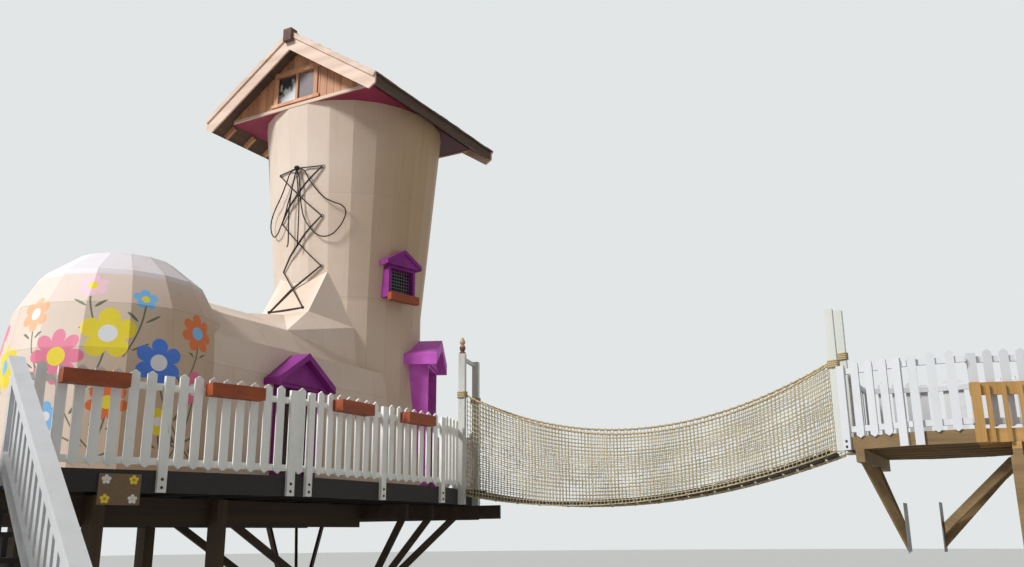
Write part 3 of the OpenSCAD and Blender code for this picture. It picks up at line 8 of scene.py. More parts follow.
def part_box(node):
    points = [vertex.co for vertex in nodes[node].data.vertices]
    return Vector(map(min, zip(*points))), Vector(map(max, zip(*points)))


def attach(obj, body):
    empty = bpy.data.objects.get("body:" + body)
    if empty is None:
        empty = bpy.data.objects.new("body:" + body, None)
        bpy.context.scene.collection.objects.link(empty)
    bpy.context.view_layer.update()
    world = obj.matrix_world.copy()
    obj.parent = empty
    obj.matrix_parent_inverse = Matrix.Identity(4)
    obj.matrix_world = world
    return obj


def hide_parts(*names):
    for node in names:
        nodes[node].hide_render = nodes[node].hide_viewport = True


# The boot tree house, dressed around its frame. Lengths are in metres, angles in degrees unless said.
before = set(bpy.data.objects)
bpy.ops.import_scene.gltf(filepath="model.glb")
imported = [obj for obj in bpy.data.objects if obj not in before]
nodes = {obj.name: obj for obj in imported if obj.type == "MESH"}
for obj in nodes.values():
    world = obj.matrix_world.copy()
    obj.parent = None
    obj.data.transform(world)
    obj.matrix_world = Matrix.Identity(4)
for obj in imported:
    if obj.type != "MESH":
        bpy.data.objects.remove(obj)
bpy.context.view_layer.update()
bpy.ops.object.select_all(action="DESELECT")
print("frame loaded:", len(nodes), "nodes")

# The deck's own frame: its origin is on the shaft's axis at floor level
roofLow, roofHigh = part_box("roof_front")
deckOrigin = Vector(((roofLow.x + roofHigh.x) / 2, roofHigh.y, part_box("deck_boards")[1].z))


def at(x, y, z):  # a place given in the deck's own frame
    return deckOrigin + Vector((x, y, z))


def rgb(red, green, blue):  # a colour as a screen shows it, 0 to 255, made linear
    def linear(value):
        share = value / 255
        return share / 12.92 if share <= 0.04045 else ((share + 0.055) / 1.055) ** 2.4
    return (linear(red), linear(green), linear(blue), 1.0)


# Camera at the photograph's place
cameraSettings = {
    "place": at(-10.68, -8.557, -0.606),
    "heading": 28.57,  # from +X towards +Y
    "pitch": 14.99,
    "roll": -0.516,
    "focalPixels": 939.8,
    "imageWidth": 1024,
    "sensorWidth": 36,
}


def makeCamera(s):
    data = bpy.data.cameras.new("photoCamera")
    data.sensor_width = s["sensorWidth"]
    data.lens = s["focalPixels"] / s["imageWidth"] * s["sensorWidth"]
    data.clip_start, data.clip_end = 0.1, 300
    camera = bpy.data.objects.new("photoCamera", data)
    bpy.context.scene.collection.objects.link(camera)
    turn = Matrix.Rotation(math.radians(s["heading"] - 90), 4, "Z")
    tilt = Matrix.Rotation(math.radians(90 + s["pitch"]), 4, "X")
    roll = Matrix.Rotation(math.radians(s["roll"]), 4, "Z")
    camera.matrix_world = Matrix.Translation(s["place"]) @ turn @ tilt @ roll
    bpy.context.scene.camera = camera


makeCamera(cameraSettings)


# Shader maths, written as expressions
class Value:  # an output socket of a node
    def __init__(self, look, socket):
        self.look = look
        self.socket = socket

    def maths(self, operation, a, b=0.0, clamp=False):
        return self.look.add("ShaderNodeMath", {"operation": operation, "use_clamp": clamp}, {0: a, 1: b})

    def __add__(self, other):
        return self.maths("ADD", self, other)

    def __sub__(self, other):
        return self.maths("SUBTRACT", self, other)

    def __rsub__(self, other):
        return self.maths("SUBTRACT", other, self)

    def __mul__(self, other):
        return self.maths("MULTIPLY", self, other)

    def __truediv__(self, other):
        return self.maths("DIVIDE", self, other)

    def __rtruediv__(self, other):
        return self.maths("DIVIDE", other, self)

    def __pow__(self, other):
        return self.maths("POWER", self, other)

    def __abs__(self):
        return self.maths("ABSOLUTE", self)

    def __gt__(self, other):
        return self.maths("GREATER_THAN", self, other)

    def __lt__(self, other):
        return self.maths("LESS_THAN", self, other)

    __radd__ = __add__
    __rmul__ = __mul__

    def floor(self):
        return self.maths("FLOOR", self)

    def fract(self):
        return self.maths("FRACT", self)

    def sine(self):
        return self.maths("SINE", self)

    def cosine(self):
        return self.maths("COSINE", self)

    def root(self):
        return self.maths("SQRT", self)

    def most(self, other):
        return self.maths("MAXIMUM", self, other)

    def fade(self, low, high):  # 0 at low to 1 at high, with soft ends
        return self.look.add("ShaderNodeMapRange", {"interpolation_type": "SMOOTHSTEP"},
                             {"Value": self, "From Min": low, "From Max": high})


class Look:  # a material, and the one method that adds a node to it
    def __init__(self, name, **plain):
        self.material = bpy.data.materials.new(name)
        self.material.use_nodes = True
        self.tree = self.material.node_tree
        self.tree.nodes.clear()
        self.shader = self.tree.nodes.new("ShaderNodeBsdfPrincipled")
        output = self.tree.nodes.new("ShaderNodeOutputMaterial")
        self.tree.links.new(self.shader.outputs[0], output.inputs[0])
        self.coordinates = None
        for socket, number in plain.items():
            self.feed(socket.replace("_", " ").title().replace("Ior", "IOR"), number)

    def add(self, kind, settings, sockets, output=0):
        node = self.tree.nodes.new(kind)
        for name, setting in settings.items():
            setattr(node, name, setting)
        for socket, given in sockets.items():
            if isinstance(given, Value):
                self.tree.links.new(given.socket, node.inputs[socket])
            else:
                node.inputs[socket].default_value = given
        return Value(self, node.outputs[output])

    def feed(self, socket, given):
        if isinstance(given, Value):
            self.tree.links.new(given.socket, self.shader.inputs[socket])
        else:
            self.shader.inputs[socket].default_value = given

    def own(self, name):  # a number that the mesh itself carries
        return self.add("ShaderNodeAttribute", {"attribute_name": name}, {}, "Fac")

    def place(self):  # object coordinates, which are the part's own frame
        if self.coordinates is None:
            self.coordinates = self.add("ShaderNodeTexCoord", {}, {}, "Object")
        return self.coordinates

    def parts(self, vector):
        split = self.add("ShaderNodeSeparateXYZ", {}, {0: vector})
        return [Value(self, socket) for socket in split.socket.node.outputs]

    def deckPlace(self):  # x, y and z in the deck's own frame
        x, y, z = self.parts(self.place())
        return x - deckOrigin.x, y - deckOrigin.y, z - deckOrigin.z

    def vector(self, x, y, z):
        return self.add("ShaderNodeCombineXYZ", {}, {0: x, 1: y, 2: z})

    def stretched(self, stretch, vector=None):
        return self.add("ShaderNodeMapping", {}, {"Vector": vector or self.place(), "Scale": stretch})

    def noise(self, scale, detail=3.0, stretch=(1, 1, 1), vector=None, rough=0.55):
        return self.add("ShaderNodeTexNoise", {"noise_dimensions": "3D"},
                        {"Vector": self.stretched(stretch, vector), "Scale": scale, "Detail": detail,
                         "Roughness": rough})

    def chance(self, value):  # a number from 0 to 1 for each whole number or vector
        if isinstance(value, tuple):
            return self.add("ShaderNodeTexWhiteNoise", {"noise_dimensions": "3D"},
                            {"Vector": self.vector(*value)})
        return self.add("ShaderNodeTexWhiteNoise", {"noise_dimensions": "1D"}, {"W": value})

    def blend(self, factor, a, b):
        return self.add("ShaderNodeMix", {"data_type": "RGBA"}, {0: factor, 6: a, 7: b}, 2)

    def shaded(self, colour, value):  # a colour made lighter or darker
        return self.add("ShaderNodeVectorMath", {"operation": "SCALE"}, {0: colour, "Scale": value})

    def dot(self, vector, direction):
        return self.add("ShaderNodeVectorMath", {"operation": "DOT_PRODUCT"},
                        {0: vector, 1: direction}, "Value")

    def bump(self, height, distance, strength=1.0):
        self.feed("Normal", self.add("ShaderNodeBump", {},
                                     {"Height": height, "Distance": distance, "Strength": strength}))


# Wood and paint
grainStretch = {"X": (2.6, 70, 70), "Y": (70, 2.6, 70), "Z": (70, 70, 2.6)}


def grain(look, axis):  # fibres that run along an axis, and slow changes of tone
    fibres = look.noise(1.0, 5.0, grainStretch[axis], rough=0.62)
    tone = look.noise(1.0, 3.0, tuple(number * 0.11 for number in grainStretch[axis]))
    return fibres, tone


woodSettings = {
    "darkStain": {"light": rgb(44, 37, 34), "dark": rgb(18, 15, 14), "axis": "X", "rough": 0.72},
    "beamStain": {"light": rgb(88, 70, 50), "dark": rgb(44, 35, 27), "axis": "X", "rough": 0.78},
    "postStain": {"light": rgb(98, 80, 56), "dark": rgb(54, 44, 32), "axis": "Z", "rough": 0.78},
    "floorCedar": {"light": rgb(158, 140, 118), "dark": rgb(106, 92, 76), "axis": "X", "rough": 0.78},
    "cedarBox": {"light": rgb(186, 86, 30), "dark": rgb(104, 42, 14), "axis": "X", "rough": 0.55},
    "siding": {"light": rgb(222, 166, 124), "dark": rgb(168, 106, 70), "axis": "Z", "rough": 0.62},
    "fascia": {"light": rgb(238, 214, 198), "dark": rgb(206, 172, 148), "axis": "Y", "rough": 0.6},
    "newWood": {"light": rgb(202, 162, 100), "dark": rgb(162, 118, 64), "axis": "Z", "rough": 0.6},
    "platformRim": {"light": rgb(150, 124, 84), "dark": rgb(98, 76, 48), "axis": "Y", "rough": 0.74,
                    "fresh": True},
    "sheathing": {"light": rgb(112, 88, 74), "dark": rgb(60, 47, 40), "axis": "X", "rough": 0.85},
    "ridgeWood": {"light": rgb(128, 96, 84), "dark": rgb(66, 46, 42), "axis": "X", "rough": 0.8},
    "plank": {"light": rgb(84, 70, 56), "dark": rgb(40, 33, 27), "axis": "X", "rough": 0.8},
}


def woodLook(name, light, dark, axis, rough, spread=0.0, fresh=False):
    look = Look(name)
    fibres, tone = grain(look, axis)
    share = fibres * 0.7 + tone.fade(0.3, 0.7) * 0.3
    colour = look.blend(share, dark, light)
    if fresh:  # new wood on the platform's newest side
        x, y, z = look.deckPlace()
        new = look.blend(share, woodSettings["newWood"]["dark"], woodSettings["newWood"]["light"])
        colour = look.blend((y < -8.07) * (x < 1.0) * (z > 0.2), colour, new)
    lightness = tone * 0.4 + 0.8
    if spread:  # each board has a tone of its own
        lightness = lightness * (look.own("tone") * spread + (1 - spread / 2))
    look.feed("Base Color", look.shaded(colour, lightness))
    look.feed("Roughness", fibres * 0.18 + (rough - 0.09))
    look.bump(fibres, 0.004, 0.5)
    return look


woods = {name: woodLook(name, **s) for name, s in woodSettings.items()}
sidingLook = woodLook("gableCedar", rgb(232, 178, 138), rgb(176, 112, 74), "Z", 0.62, 0.34)
fasciaLook = woodLook("paleTrim", rgb(236, 212, 196), rgb(198, 168, 146), "Y", 0.6, 0.16)
shakeLook = woodLook("splitShakes", rgb(138, 112, 94), rgb(60, 46, 40), "Y", 0.86, 0.55)


def whitePaintLook(name, paint, turnedTops=False):
    look = Look(name)
    fibres, tone = grain(look, "Z")
    x, y, z = look.deckPlace()
    worn = (look.noise(16.0, 5.0, (1, 1, 0.3)) + fibres * 0.3).fade(0.84, 0.90)
    darkening = look.noise(5.0, 4.0, (1, 1, 0.5)).fade(0.45, 0.8)
    low = 1 - z.fade(-0.18, 0.22)
    colour = look.blend(darkening * 0.3 + low * 0.2, paint, rgb(196, 194, 184))
    colour = look.blend(worn * 0.5, colour, rgb(160, 152, 138))
    if turnedTops:  # the turned tops are bare wood, darker at the foot
        bare = (z > 1.858) * (y > -3)
        wood = look.blend(z.fade(1.94, 2.0), rgb(132, 84, 66), rgb(226, 190, 154))
        colour = look.blend(bare, colour, look.blend(fibres * 0.5, wood, rgb(120, 80, 56)))
    look.feed("Base Color", look.shaded(colour, tone * 0.16 + 0.9))
    look.feed("Roughness", worn * 0.25 + 0.48)
    look.bump(fibres * 0.6 + worn * -0.5, 0.002, 0.5)
    return look


def purplePaintLook(name, base, faded, shadedTowardsHeel=False):
    look = Look(name, specular_ior_level=0.3)
    fibres, tone = grain(look, "Z")
    patchy = look.noise(3.0, 3.0)
    colour = look.blend(patchy.fade(0.35, 0.75), base, faded)
    if shadedTowardsHeel:  # painted shade: darker towards the heel and the near side, under the eave
        x, y, z = look.deckPlace()
        colour = look.blend((x - y * 0.4).fade(-0.9, 1.3) * 0.8, colour, rgb(58, 30, 36))
    look.feed("Base Color", look.shaded(colour, tone * 0.2 + 0.88))
    look.feed("Roughness", patchy * 0.15 + 0.5)
    look.bump(fibres, 0.0015, 0.4)
    return look


# Boot skin: painted panels, each with a tone of its own, with joints at given heights, and with painted
# shade on the side turned from the light, on the foot's near side and on the instep's front
skinSettings = {
    "light": rgb(231, 214, 199),
    "dark": rgb(217, 197, 179),
    # the foot's pair is lighter than the shaft's: painted light for the sun on the instep
    "litFootLight": rgb(240, 224, 210),
    "litFootDark": rgb(226, 206, 189),
    "joint": rgb(156, 136, 114),
    # the darkening colour serves real stains, and also the painted shade
    "darkening": rgb(176, 138, 88),
    "cap": rgb(236, 231, 236),
    # blush: the lighter pink of the dome's tier below the cap, painted sky light
    "blush": rgb(232, 212, 206),
    "jointWidth": 0.004,
    "seamWidth": 0.003,
    "panelTone": 0.05,
}


def bootSkinLook(name, centreX, sides, jointHeights, capHeight=None, s=skinSettings):
    look = Look(name)
    x, y, z = look.deckPlace()
    if sides:  # panels between the corners of a round wall
        x = x - centreX
        across = (x * x + y * y).root()
        bearing = y.maths("ARCTAN2", y, x) * (sides / (2 * math.pi)) + 0.5
        width = across * (2 * math.pi / sides)
        # painted shade: the side turned away from the light at bearing 150 degrees is blended towards the
        # darkening colour
        shade = 1 - ((y * 0.5 - x * 0.866) / across).fade(-0.55, 1.0)
    else:  # panels side by side along a straight wall
        bearing, width = (x - centreX) / 1.22, 1.22
        # painted shade on the foot's near side, and on the instep's front above 1.55
        shade = (1 - y.fade(-1.0, -0.5)) * 0.6 + (1 - abs(y).fade(0.25, 0.5)) * (z > 1.55) * 0.4
    panel = bearing.floor()
    edge = (0.5 - abs(bearing - panel - 0.5)) * width
    seam = 1 - edge.fade(s["seamWidth"] * 0.4, s["seamWidth"])
    level = 0.0
    for height in jointHeights:
        level = (z > height) + level
        near = 1 - abs(z - height).fade(s["jointWidth"] * 0.4, s["jointWidth"])
        seam = seam.most(near)
    tone = look.chance((panel, level, 0.0)) * s["panelTone"] + (1 - s["panelTone"] / 2)
    fibres = look.noise(1.0, 5.0, (34, 34, 1.1), rough=0.6)
    cloudy = look.noise(1.3, 3.0)
    stains = look.noise(1.0, 4.0, (7, 7, 0.5)).fade(0.55, 0.8)
    # the foot takes its lighter pair, painted light
    dark, light = (s["dark"], s["light"]) if sides == 24 else (s["litFootDark"], s["litFootLight"])
    colour = look.blend(cloudy.fade(0.3, 0.7) * 0.6 + fibres * 0.4, dark, light)
    if capHeight:  # the dome's upper tiers are paler: the cap is pinkish white, and the tier below it is blended part way to a lighter pink, painted sky light on that upward-facing tier
        colour = look.blend((z > jointHeights[-1]) * 0.6, colour, s["blush"])
        colour = look.blend(z.fade(capHeight, capHeight + 0.04), colour, s["cap"])
        # painted shade, weaker on the dome and weaker still towards its top
        shade = shade * (0.55 - z.fade(1.5, 2.2) * 0.45)
    else:
        # painted shade, weaker low on the shaft
        shade = shade * (z.fade(1.4, 3.4) * 0.5 + 0.25)
    # real stains and the painted shade, both blended towards the darkening colour
    colour = look.blend(stains * 0.16 + shade, colour, s["darkening"])
    colour = look.blend(seam * 0.4, colour, s["joint"])
    return look, look.shaded(colour, tone), fibres, seam


def finishSkin(look, colour, fibres, seam):
    look.feed("Base Color", colour)
    look.feed("Roughness", fibres * 0.14 + 0.5)
    look.bump(fibres * 0.3 - seam, 0.0015, 0.5)
    return look


# Painted flowers, laid out afresh: bearing about the toe's middle, height, radius, petals, colours
toe = {"centreX": -3.919, "radius": 1.13, "wallHeight": 1.19, "rise": 1.23, "fullness": 0.85}
flowerColours = {
    "yellow": rgb(246, 224, 56), "pink": rgb(236, 128, 158), "orange": rgb(232, 122, 62),
    "peach": rgb(250, 188, 146), "blue": rgb(78, 132, 232), "sky": rgb(132, 196, 246),
    "blush": rgb(250, 204, 220), "white": rgb(238, 240, 244), "stem": rgb(66, 84, 52),
}
flowers = [
    (-134, 1.34, 0.270, 5, "yellow", "white"), (-158, 1.10, 0.280, 8, "pink", "yellow"),
    (-108, 1.08, 0.250, 6, "blue", "white"), (-84, 1.46, 0.210, 7, "orange", "sky"),
    (-146, 1.86, 0.150, 6, "blush", "yellow"), (-176, 1.56, 0.190, 6, "peach", "white"),
    (-116, 1.74, 0.130, 5, "sky", "yellow"), (-86, 0.86, 0.190, 5, "pink", "white"),
    (-131, 0.66, 0.200, 7, "orange", "yellow"), (-160, 0.52, 0.150, 5, "sky", "white"),
    (-106, 0.50, 0.140, 6, "yellow", "white"), (166, 1.04, 0.240, 7, "yellow", "sky"),
    (142, 1.40, 0.250, 5, "pink", "white"), (120, 1.02, 0.270, 8, "blue", "yellow"),
    (96, 1.46, 0.200, 6, "orange", "white"),
]


def onToe(bearing, height, s=toe):  # a place on the toe, with the way round it and the way up it there
    turn = math.radians(bearing)
    out = Vector((math.cos(turn), math.sin(turn), 0))
    rise = math.asin(max(0.0, (height - s["wallHeight"]) / s["rise"]))
    radius = s["radius"] * math.cos(rise) ** s["fullness"]
    inwards = s["radius"] * s["fullness"] * math.cos(rise) ** (s["fullness"] - 1) * math.sin(rise)
    up = Vector((0, 0, s["rise"] * math.cos(rise))) - out * inwards
    return at(s["centreX"], 0, height) + out * radius, Vector((-out.y, out.x, 0)), up.normalized()


def flowerPlace(look, spot, right, up):  # across and up the flower, and whether this side faces it
    place = look.place()
    out = right.cross(up)
    u = look.dot(place, right) - spot.dot(right)
    v = look.dot(place, up) - spot.dot(up)
    return u, v, (look.dot(place, out) - spot.dot(out)) > -0.5


leaf = {"pitch": 0.30, "long": 0.080, "wide": 0.014, "stemWidth": 0.007}


def paintStem(look, colour, spot, right, up, radius, petals, stem, s=leaf):  # a curved stem with leaves
    u, v, facing = flowerPlace(look, spot, right, up)
    curve = u + v * v * (0.5 if petals % 2 else -0.5)
    reach = (v < 0) * (v > -stem)
    line = (1 - abs(curve).fade(s["stemWidth"], s["stemWidth"] + 0.004)) * reach
    leafPlace = (v / s["pitch"]).fract() * s["pitch"]
    lengthwise = (abs(curve) * 0.8 + leafPlace * 0.6 - 0.13) / s["long"]
    crosswise = (leafPlace * 0.8 - abs(curve) * 0.6 - 0.008) / s["wide"]
    blade = 1 - (lengthwise * lengthwise + crosswise * crosswise).fade(0.8, 1.0)
    blade = blade * reach * (v < -radius * 1.05)
    return look.blend(line.most(blade) * facing * 0.85, colour, flowerColours["stem"])


def paintFlower(look, colour, spot, right, up, radius, petals, petalColour, heartColour):
    u, v, facing = flowerPlace(look, spot, right, up)
    distance = (u * u + v * v).root()
    wave = abs((v.maths("ARCTAN2", u, v) * (petals / 2)).cosine()) ** 0.55
    brush = look.noise(9.0, 4.0, (1, 1, 0.4))
    petal = (wave * (0.46 * radius) + 0.54 * radius - distance).fade(0.0, 0.006) * facing
    heart = (0.34 * radius - distance).fade(0.0, 0.005) * facing
    colour = look.blend(petal, colour, look.shaded(flowerColours[petalColour][:3], brush * 0.16 + 0.9))
    return look.blend(heart, colour, flowerColours[heartColour])


def paintToe(look, colour, fibres, seam):
    for bearing, height, radius, petals, petalColour, heartColour in flowers:
        stem = height - 0.1 if height < 1.2 else 0.62
        colour = paintStem(look, colour, *onToe(bearing, height), radius, petals, stem)
    for bearing, height, *flower in flowers:
        colour = paintFlower(look, colour, *onToe(bearing, height), *flower)
    return look, look.blend(seam * 0.25, colour, skinSettings["joint"]), fibres, seam


shaftLook = finishSkin(*bootSkinLook("shaftSkin", 0.0, 24, [2.56, 4.02]))
footLook = finishSkin(*bootSkinLook("footSkin", -2.6, 0, [1.19]))
domeLook = finishSkin(*paintToe(*bootSkinLook("toeSkin", -3.919, 16, [1.19, 1.66], 1.98)))
# one white paint in three copies: the fence's is whiter, painted light on its shaded face, and the rails'
# and posts' are greyer, painted shade where the sun falls on them
fencePaintLitCopy = whitePaintLook("fencePaintLitCopy", rgb(250, 250, 246))
railPaintShadedCopy = whitePaintLook("railPaintShadedCopy", rgb(214, 216, 220))
postPaintShadedCopy = whitePaintLook("postPaintShadedCopy", rgb(212, 214, 206), True)
purplePaint = purplePaintLook("purplePaint", rgb(134, 40, 130), rgb(152, 56, 146))
# a lighter copy of the purple paint for the heel portal: painted sunlight
litPurpleCopy = purplePaintLook("litPurpleCopy", rgb(206, 92, 200), rgb(224, 116, 222))
# the soffit's paint carries painted shade towards the heel
soffitPaint = purplePaintLook("soffitPaint", rgb(144, 46, 76), rgb(160, 58, 90), True)


def steelLook():
    look = Look("steel", metallic=0.9)
    specks = look.noise(60.0, 4.0)
    rust = look.noise(6.0, 4.0).fade(0.55, 0.72)
    look.feed("Base Color", look.blend(rust, rgb(120, 120, 122), rgb(104, 66, 44)))
    look.feed("Roughness", specks * 0.2 + 0.4)
    look.bump(specks, 0.0005, 0.5)
    return look


steel = steelLook()
darkSteel = Look("darkSteel", metallic=0.8)
darkSteel.feed("Base Color", darkSteel.blend(darkSteel.noise(40.0), rgb(46, 42, 42), rgb(88, 74, 66)))
darkSteel.feed("Roughness", darkSteel.noise(90.0) * 0.3 + 0.4)


def paneLook():
    look = Look("windowPanes", specular_ior_level=0.8)
    x, y, z = look.deckPlace()
    screen = y < 0.06
    weave = (y * 1200).sine() * (z * 1200).sine()
    # painted reflection: a sky reflection on the glass, paler lower down and towards the screen, over an
    # opaque dark grey that is painted shade of the room behind
    paintedSkyReflection = look.noise(5.0, 5.0, (1, 1.6, 1), rough=0.7) + (5.72 - z) * 0.9 + (0.28 - y) * 0.5
    colour = look.blend(paintedSkyReflection.fade(0.48, 0.62), rgb(64, 66, 68), rgb(222, 228, 230))
    look.feed("Base Color", look.blend(screen, colour, look.blend(weave.fade(-0.3, 0.6), rgb(92, 78, 82),
                                                                rgb(122, 106, 108))))
    look.feed("Roughness", screen * 0.5 + 0.06)
    return look


panes = paneLook()


def wireLook():
    look = Look("galvanisedWire", metallic=0.7, roughness=0.45)
    look.feed("Base Color", look.blend(look.noise(30.0), rgb(92, 96, 94), rgb(138, 142, 140)))
    return look


wire = wireLook()


signFlowers = {"across": 0.120, "up": 0.085, "radius": 0.046, "petals": 5}


def signLook(s=signFlowers):  # a brown board with a small flower in each corner
    look = Look("signPaint", roughness=0.55)
    fibres, tone = grain(look, "X")
    low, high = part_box("sign_board")
    middle, half = (low + high) / 2, (high - low) / 2
    up = Vector((0, 0, 1))
    right = Vector((half.x, -half.y, 0)).normalized()
    colour = look.blend(fibres, rgb(96, 72, 48), rgb(140, 112, 76))
    for side in (-1, 1):
        for level in (-1, 1):
            spot = middle + right * side * s["across"] + up * level * s["up"]
            colours = ("yellow", "orange") if side * level > 0 else ("white", "yellow")
            colour = paintFlower(look, colour, spot, right, up, s["radius"], s["petals"], *colours)
    look.feed("Base Color", colour)
    return look


signPaint = signLook()


def ropeLook(name, light, dark, turns):  # strands that wind along the rope's own map
    look = Look(name)
    along, around, up = look.parts(look.add("ShaderNodeTexCoord", {}, {}, "UV"))
    strands = ((along * turns + around * 3) * (2 * math.pi)).sine() * 0.5 + 0.5
    fuzz = look.noise(220.0, 4.0)
    # painted shade: the darker bands between the winding strands stand for the shade in the grooves
    colour = look.blend(strands * 0.6 + fuzz * 0.4, dark, light)
    look.feed("Base Color", look.shaded(colour, look.noise(3.0) * 0.3 + 0.85))
    look.feed("Roughness", fuzz * 0.2 + 0.7)
    look.bump(strands + fuzz * 0.3, 0.003, 0.7)
    return look


laceRope = ropeLook("laceRope", rgb(62, 54, 50), rgb(22, 19, 18), 40)
bridgeRope = ropeLook("bridgeRope", rgb(226, 208, 166), rgb(156, 132, 96), 60)


def netLook():
    look = Look("netCord")
    fuzz = look.noise(160.0, 3.0)
    tone = look.noise(2.5, 3.0).fade(0.3, 0.7)
    colour = look.blend(fuzz, rgb(150, 136, 106), rgb(214, 202, 166))
    look.feed("Base Color", look.shaded(colour, tone * 0.3 + 0.85))
    look.feed("Roughness", fuzz * 0.15 + 0.78)
    look.bump(fuzz, 0.001, 0.5)
    return look


netCord = netLook()
print("materials made:", len(bpy.data.materials))


def dress(look, *names):  # gives frame nodes a finish, and leaves their meshes alone
    for name in names:
        piece = nodes[name]
        if not piece.material_slots:
            piece.data.materials.append(look.material)
        for slot in piece.material_slots:
            slot.material = look.material


dress(woods["floorCedar"], "deck_boards", "platform_floor")
dress(woods["darkStain"], "deck_rim", "deck_joists", "stair_stringers", "stair_treads")
dress(woods["beamStain"], "deck_beams", "knee_braces")
dress(woods["postStain"], "deck_posts")
dress(steel, "brace_plates", "eyelets")
dress(fencePaintLitCopy, "fence_front_left", "fence_front_right", "fence_heel", "fence_back", "fence_toe")
dress(railPaintShadedCopy, "stair_rails", "platform_fence")
dress(postPaintShadedCopy, "bridge_posts")
dress(woods["cedarBox"], "flower_boxes", "window_sill")
dress(signPaint, "sign_board")
dress(domeLook, "toe_dome", "toe_wall")
dress(footLook, "foot_vault", "foot_walls", "instep_panels")
dress(shaftLook, "shaft_lower_front", "shaft_lower_heel", "shaft_lower_back", "shaft_upper_toe",
      "shaft_upper_front", "shaft_upper_heel", "shaft_upper_back")
dress(purplePaint, "side_portal", "side_portal_roof", "shaft_window", "shaft_window_hood")
dress(litPurpleCopy, "heel_portal", "heel_portal_roof")
dress(soffitPaint, "soffit")
dress(woods["sheathing"], "roof_front", "roof_back")
dress(woods["siding"], "gable_walls", "gable_window")
dress(woods["fascia"], "fascia_boards")
dress(panes, "window_panes")
dress(wire, "window_grille")
dress(bridgeRope, "bridge_ropes")
dress(netCord, "side_nets")
dress(woods["plank"], "bridge_planks")
dress(woods["platformRim"], "platform_frame", "platform_braces")
dress(woods["newWood"], "landing_rail")
dress(laceRope, "lacing")
print("frame nodes dressed")


# Modelling helpers
def selectOnly(*pieces):
    bpy.ops.object.select_all(action="DESELECT")
    for piece in pieces:
        piece.select_set(True)
    bpy.context.view_layer.objects.active = pieces[0]


def addTimber(start, end, across, deep, ease=0.003):  # a sawn length between two places, with eased edges
    along = (end - start).normalized()
    level = Vector((0, 0, 1)).cross(along)
    level = level.normalized() if level.length > 0.001 else Vector((0, 1, 0))
    turn = Matrix((along, level, along.cross(level))).transposed()
    bpy.ops.mesh.primitive_cube_add(size=1, location=(start + end) / 2, rotation=turn.to_euler(),
                                    scale=((end - start).length, across, deep))
    timber = bpy.context.active_object
    bpy.ops.object.transform_apply(location=True, rotation=True, scale=True)
    bpy.ops.object.mode_set(mode="EDIT")
    bpy.ops.mesh.bevel(offset=ease, segments=1)
    bpy.ops.object.mode_set(mode="OBJECT")
    return timber


def copyOf(piece, matrix=None, tone=None):  # a copy with its own mesh, which may be moved and given a tone
    copy = piece.copy()
    copy.data = piece.data.copy()
    if matrix is not None:
        copy.data.transform(matrix)
    if tone is not None:
        setTone(copy, tone)
    bpy.context.scene.collection.objects.link(copy)
    return copy


def setTone(piece, tone):  # a number from 0 to 1 that the finishes read as this board's own tone
    mesh = piece.data
    layer = mesh.attributes.get("tone") or mesh.attributes.new("tone", "FLOAT", "POINT")
    layer.data.foreach_set("value", [tone] * len(mesh.vertices))


def joined(pieces):
    selectOnly(*pieces)
    if len(pieces) > 1:
        bpy.ops.object.join()
    return bpy.context.active_object


def cutWith(piece, cutter, solver="EXACT"):
    selectOnly(piece)
    cut = piece.modifiers.new("cut", "BOOLEAN")
    cut.object = cutter
    cut.solver = solver
    bpy.ops.object.modifier_apply(modifier="cut")
    bpy.data.objects.remove(cutter)


def finishPiece(piece, name, look, slot, *replaced):
    piece.name = piece.data.name = name
    piece.data.materials.clear()
    piece.data.materials.append(look.material)
    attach(piece, "root")
    if replaced:
        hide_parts(*replaced)
    print("made", name, len(piece.data.polygons), "faces")


def cordage(routes, diameter, rounds=1, swell=None):  # cords along routes, made one mesh
    data = bpy.data.curves.new("cordage", "CURVE")
    data.dimensions = "3D"
    data.bevel_depth = diameter / 2
    data.bevel_resolution = rounds
    data.use_fill_caps = True
    for route in routes:
        spline = data.splines.new("POLY")
        spline.points.add(len(route) - 1)
        for index, (point, place) in enumerate(zip(spline.points, route)):
            point.co = (*place, 1)
            point.radius = swell(index) if swell else 1
    piece = bpy.data.objects.new("cordage", data)
    bpy.context.scene.collection.objects.link(piece)
    selectOnly(piece)
    bpy.ops.object.convert(target="MESH")
    bpy.ops.object.shade_smooth()
    return bpy.context.active_object


laid = {"strandShare": 0.53, "strandReach": 0.235}  # a strand's size and place, as shares of the rope's


def laidStrands(route, diameter, pitch, count=3):  # the strands that wind round each other along a route
    strands = [[] for strand in range(count)]
    away = Vector((0, 0, 1))
    travelled = 0.0
    for index, place in enumerate(route):
        ahead = route[min(index + 1, len(route) - 1)] - route[max(index - 1, 0)]
        ahead.normalize()
        away = (away - ahead * away.dot(ahead)).normalized()
        beside = ahead.cross(away)
        if index:
            travelled += (place - route[index - 1]).length
        for number, strand in enumerate(strands):
            turn = 2 * math.pi * (travelled / pitch + number / count)
            reach = diameter * laid["strandReach"]
            strand.append(place + (away * math.cos(turn) + beside * math.sin(turn)) * reach)
    return strands


def evenly(low, high, count):
    return [low + (high - low) * index / count for index in range(count + 1)]


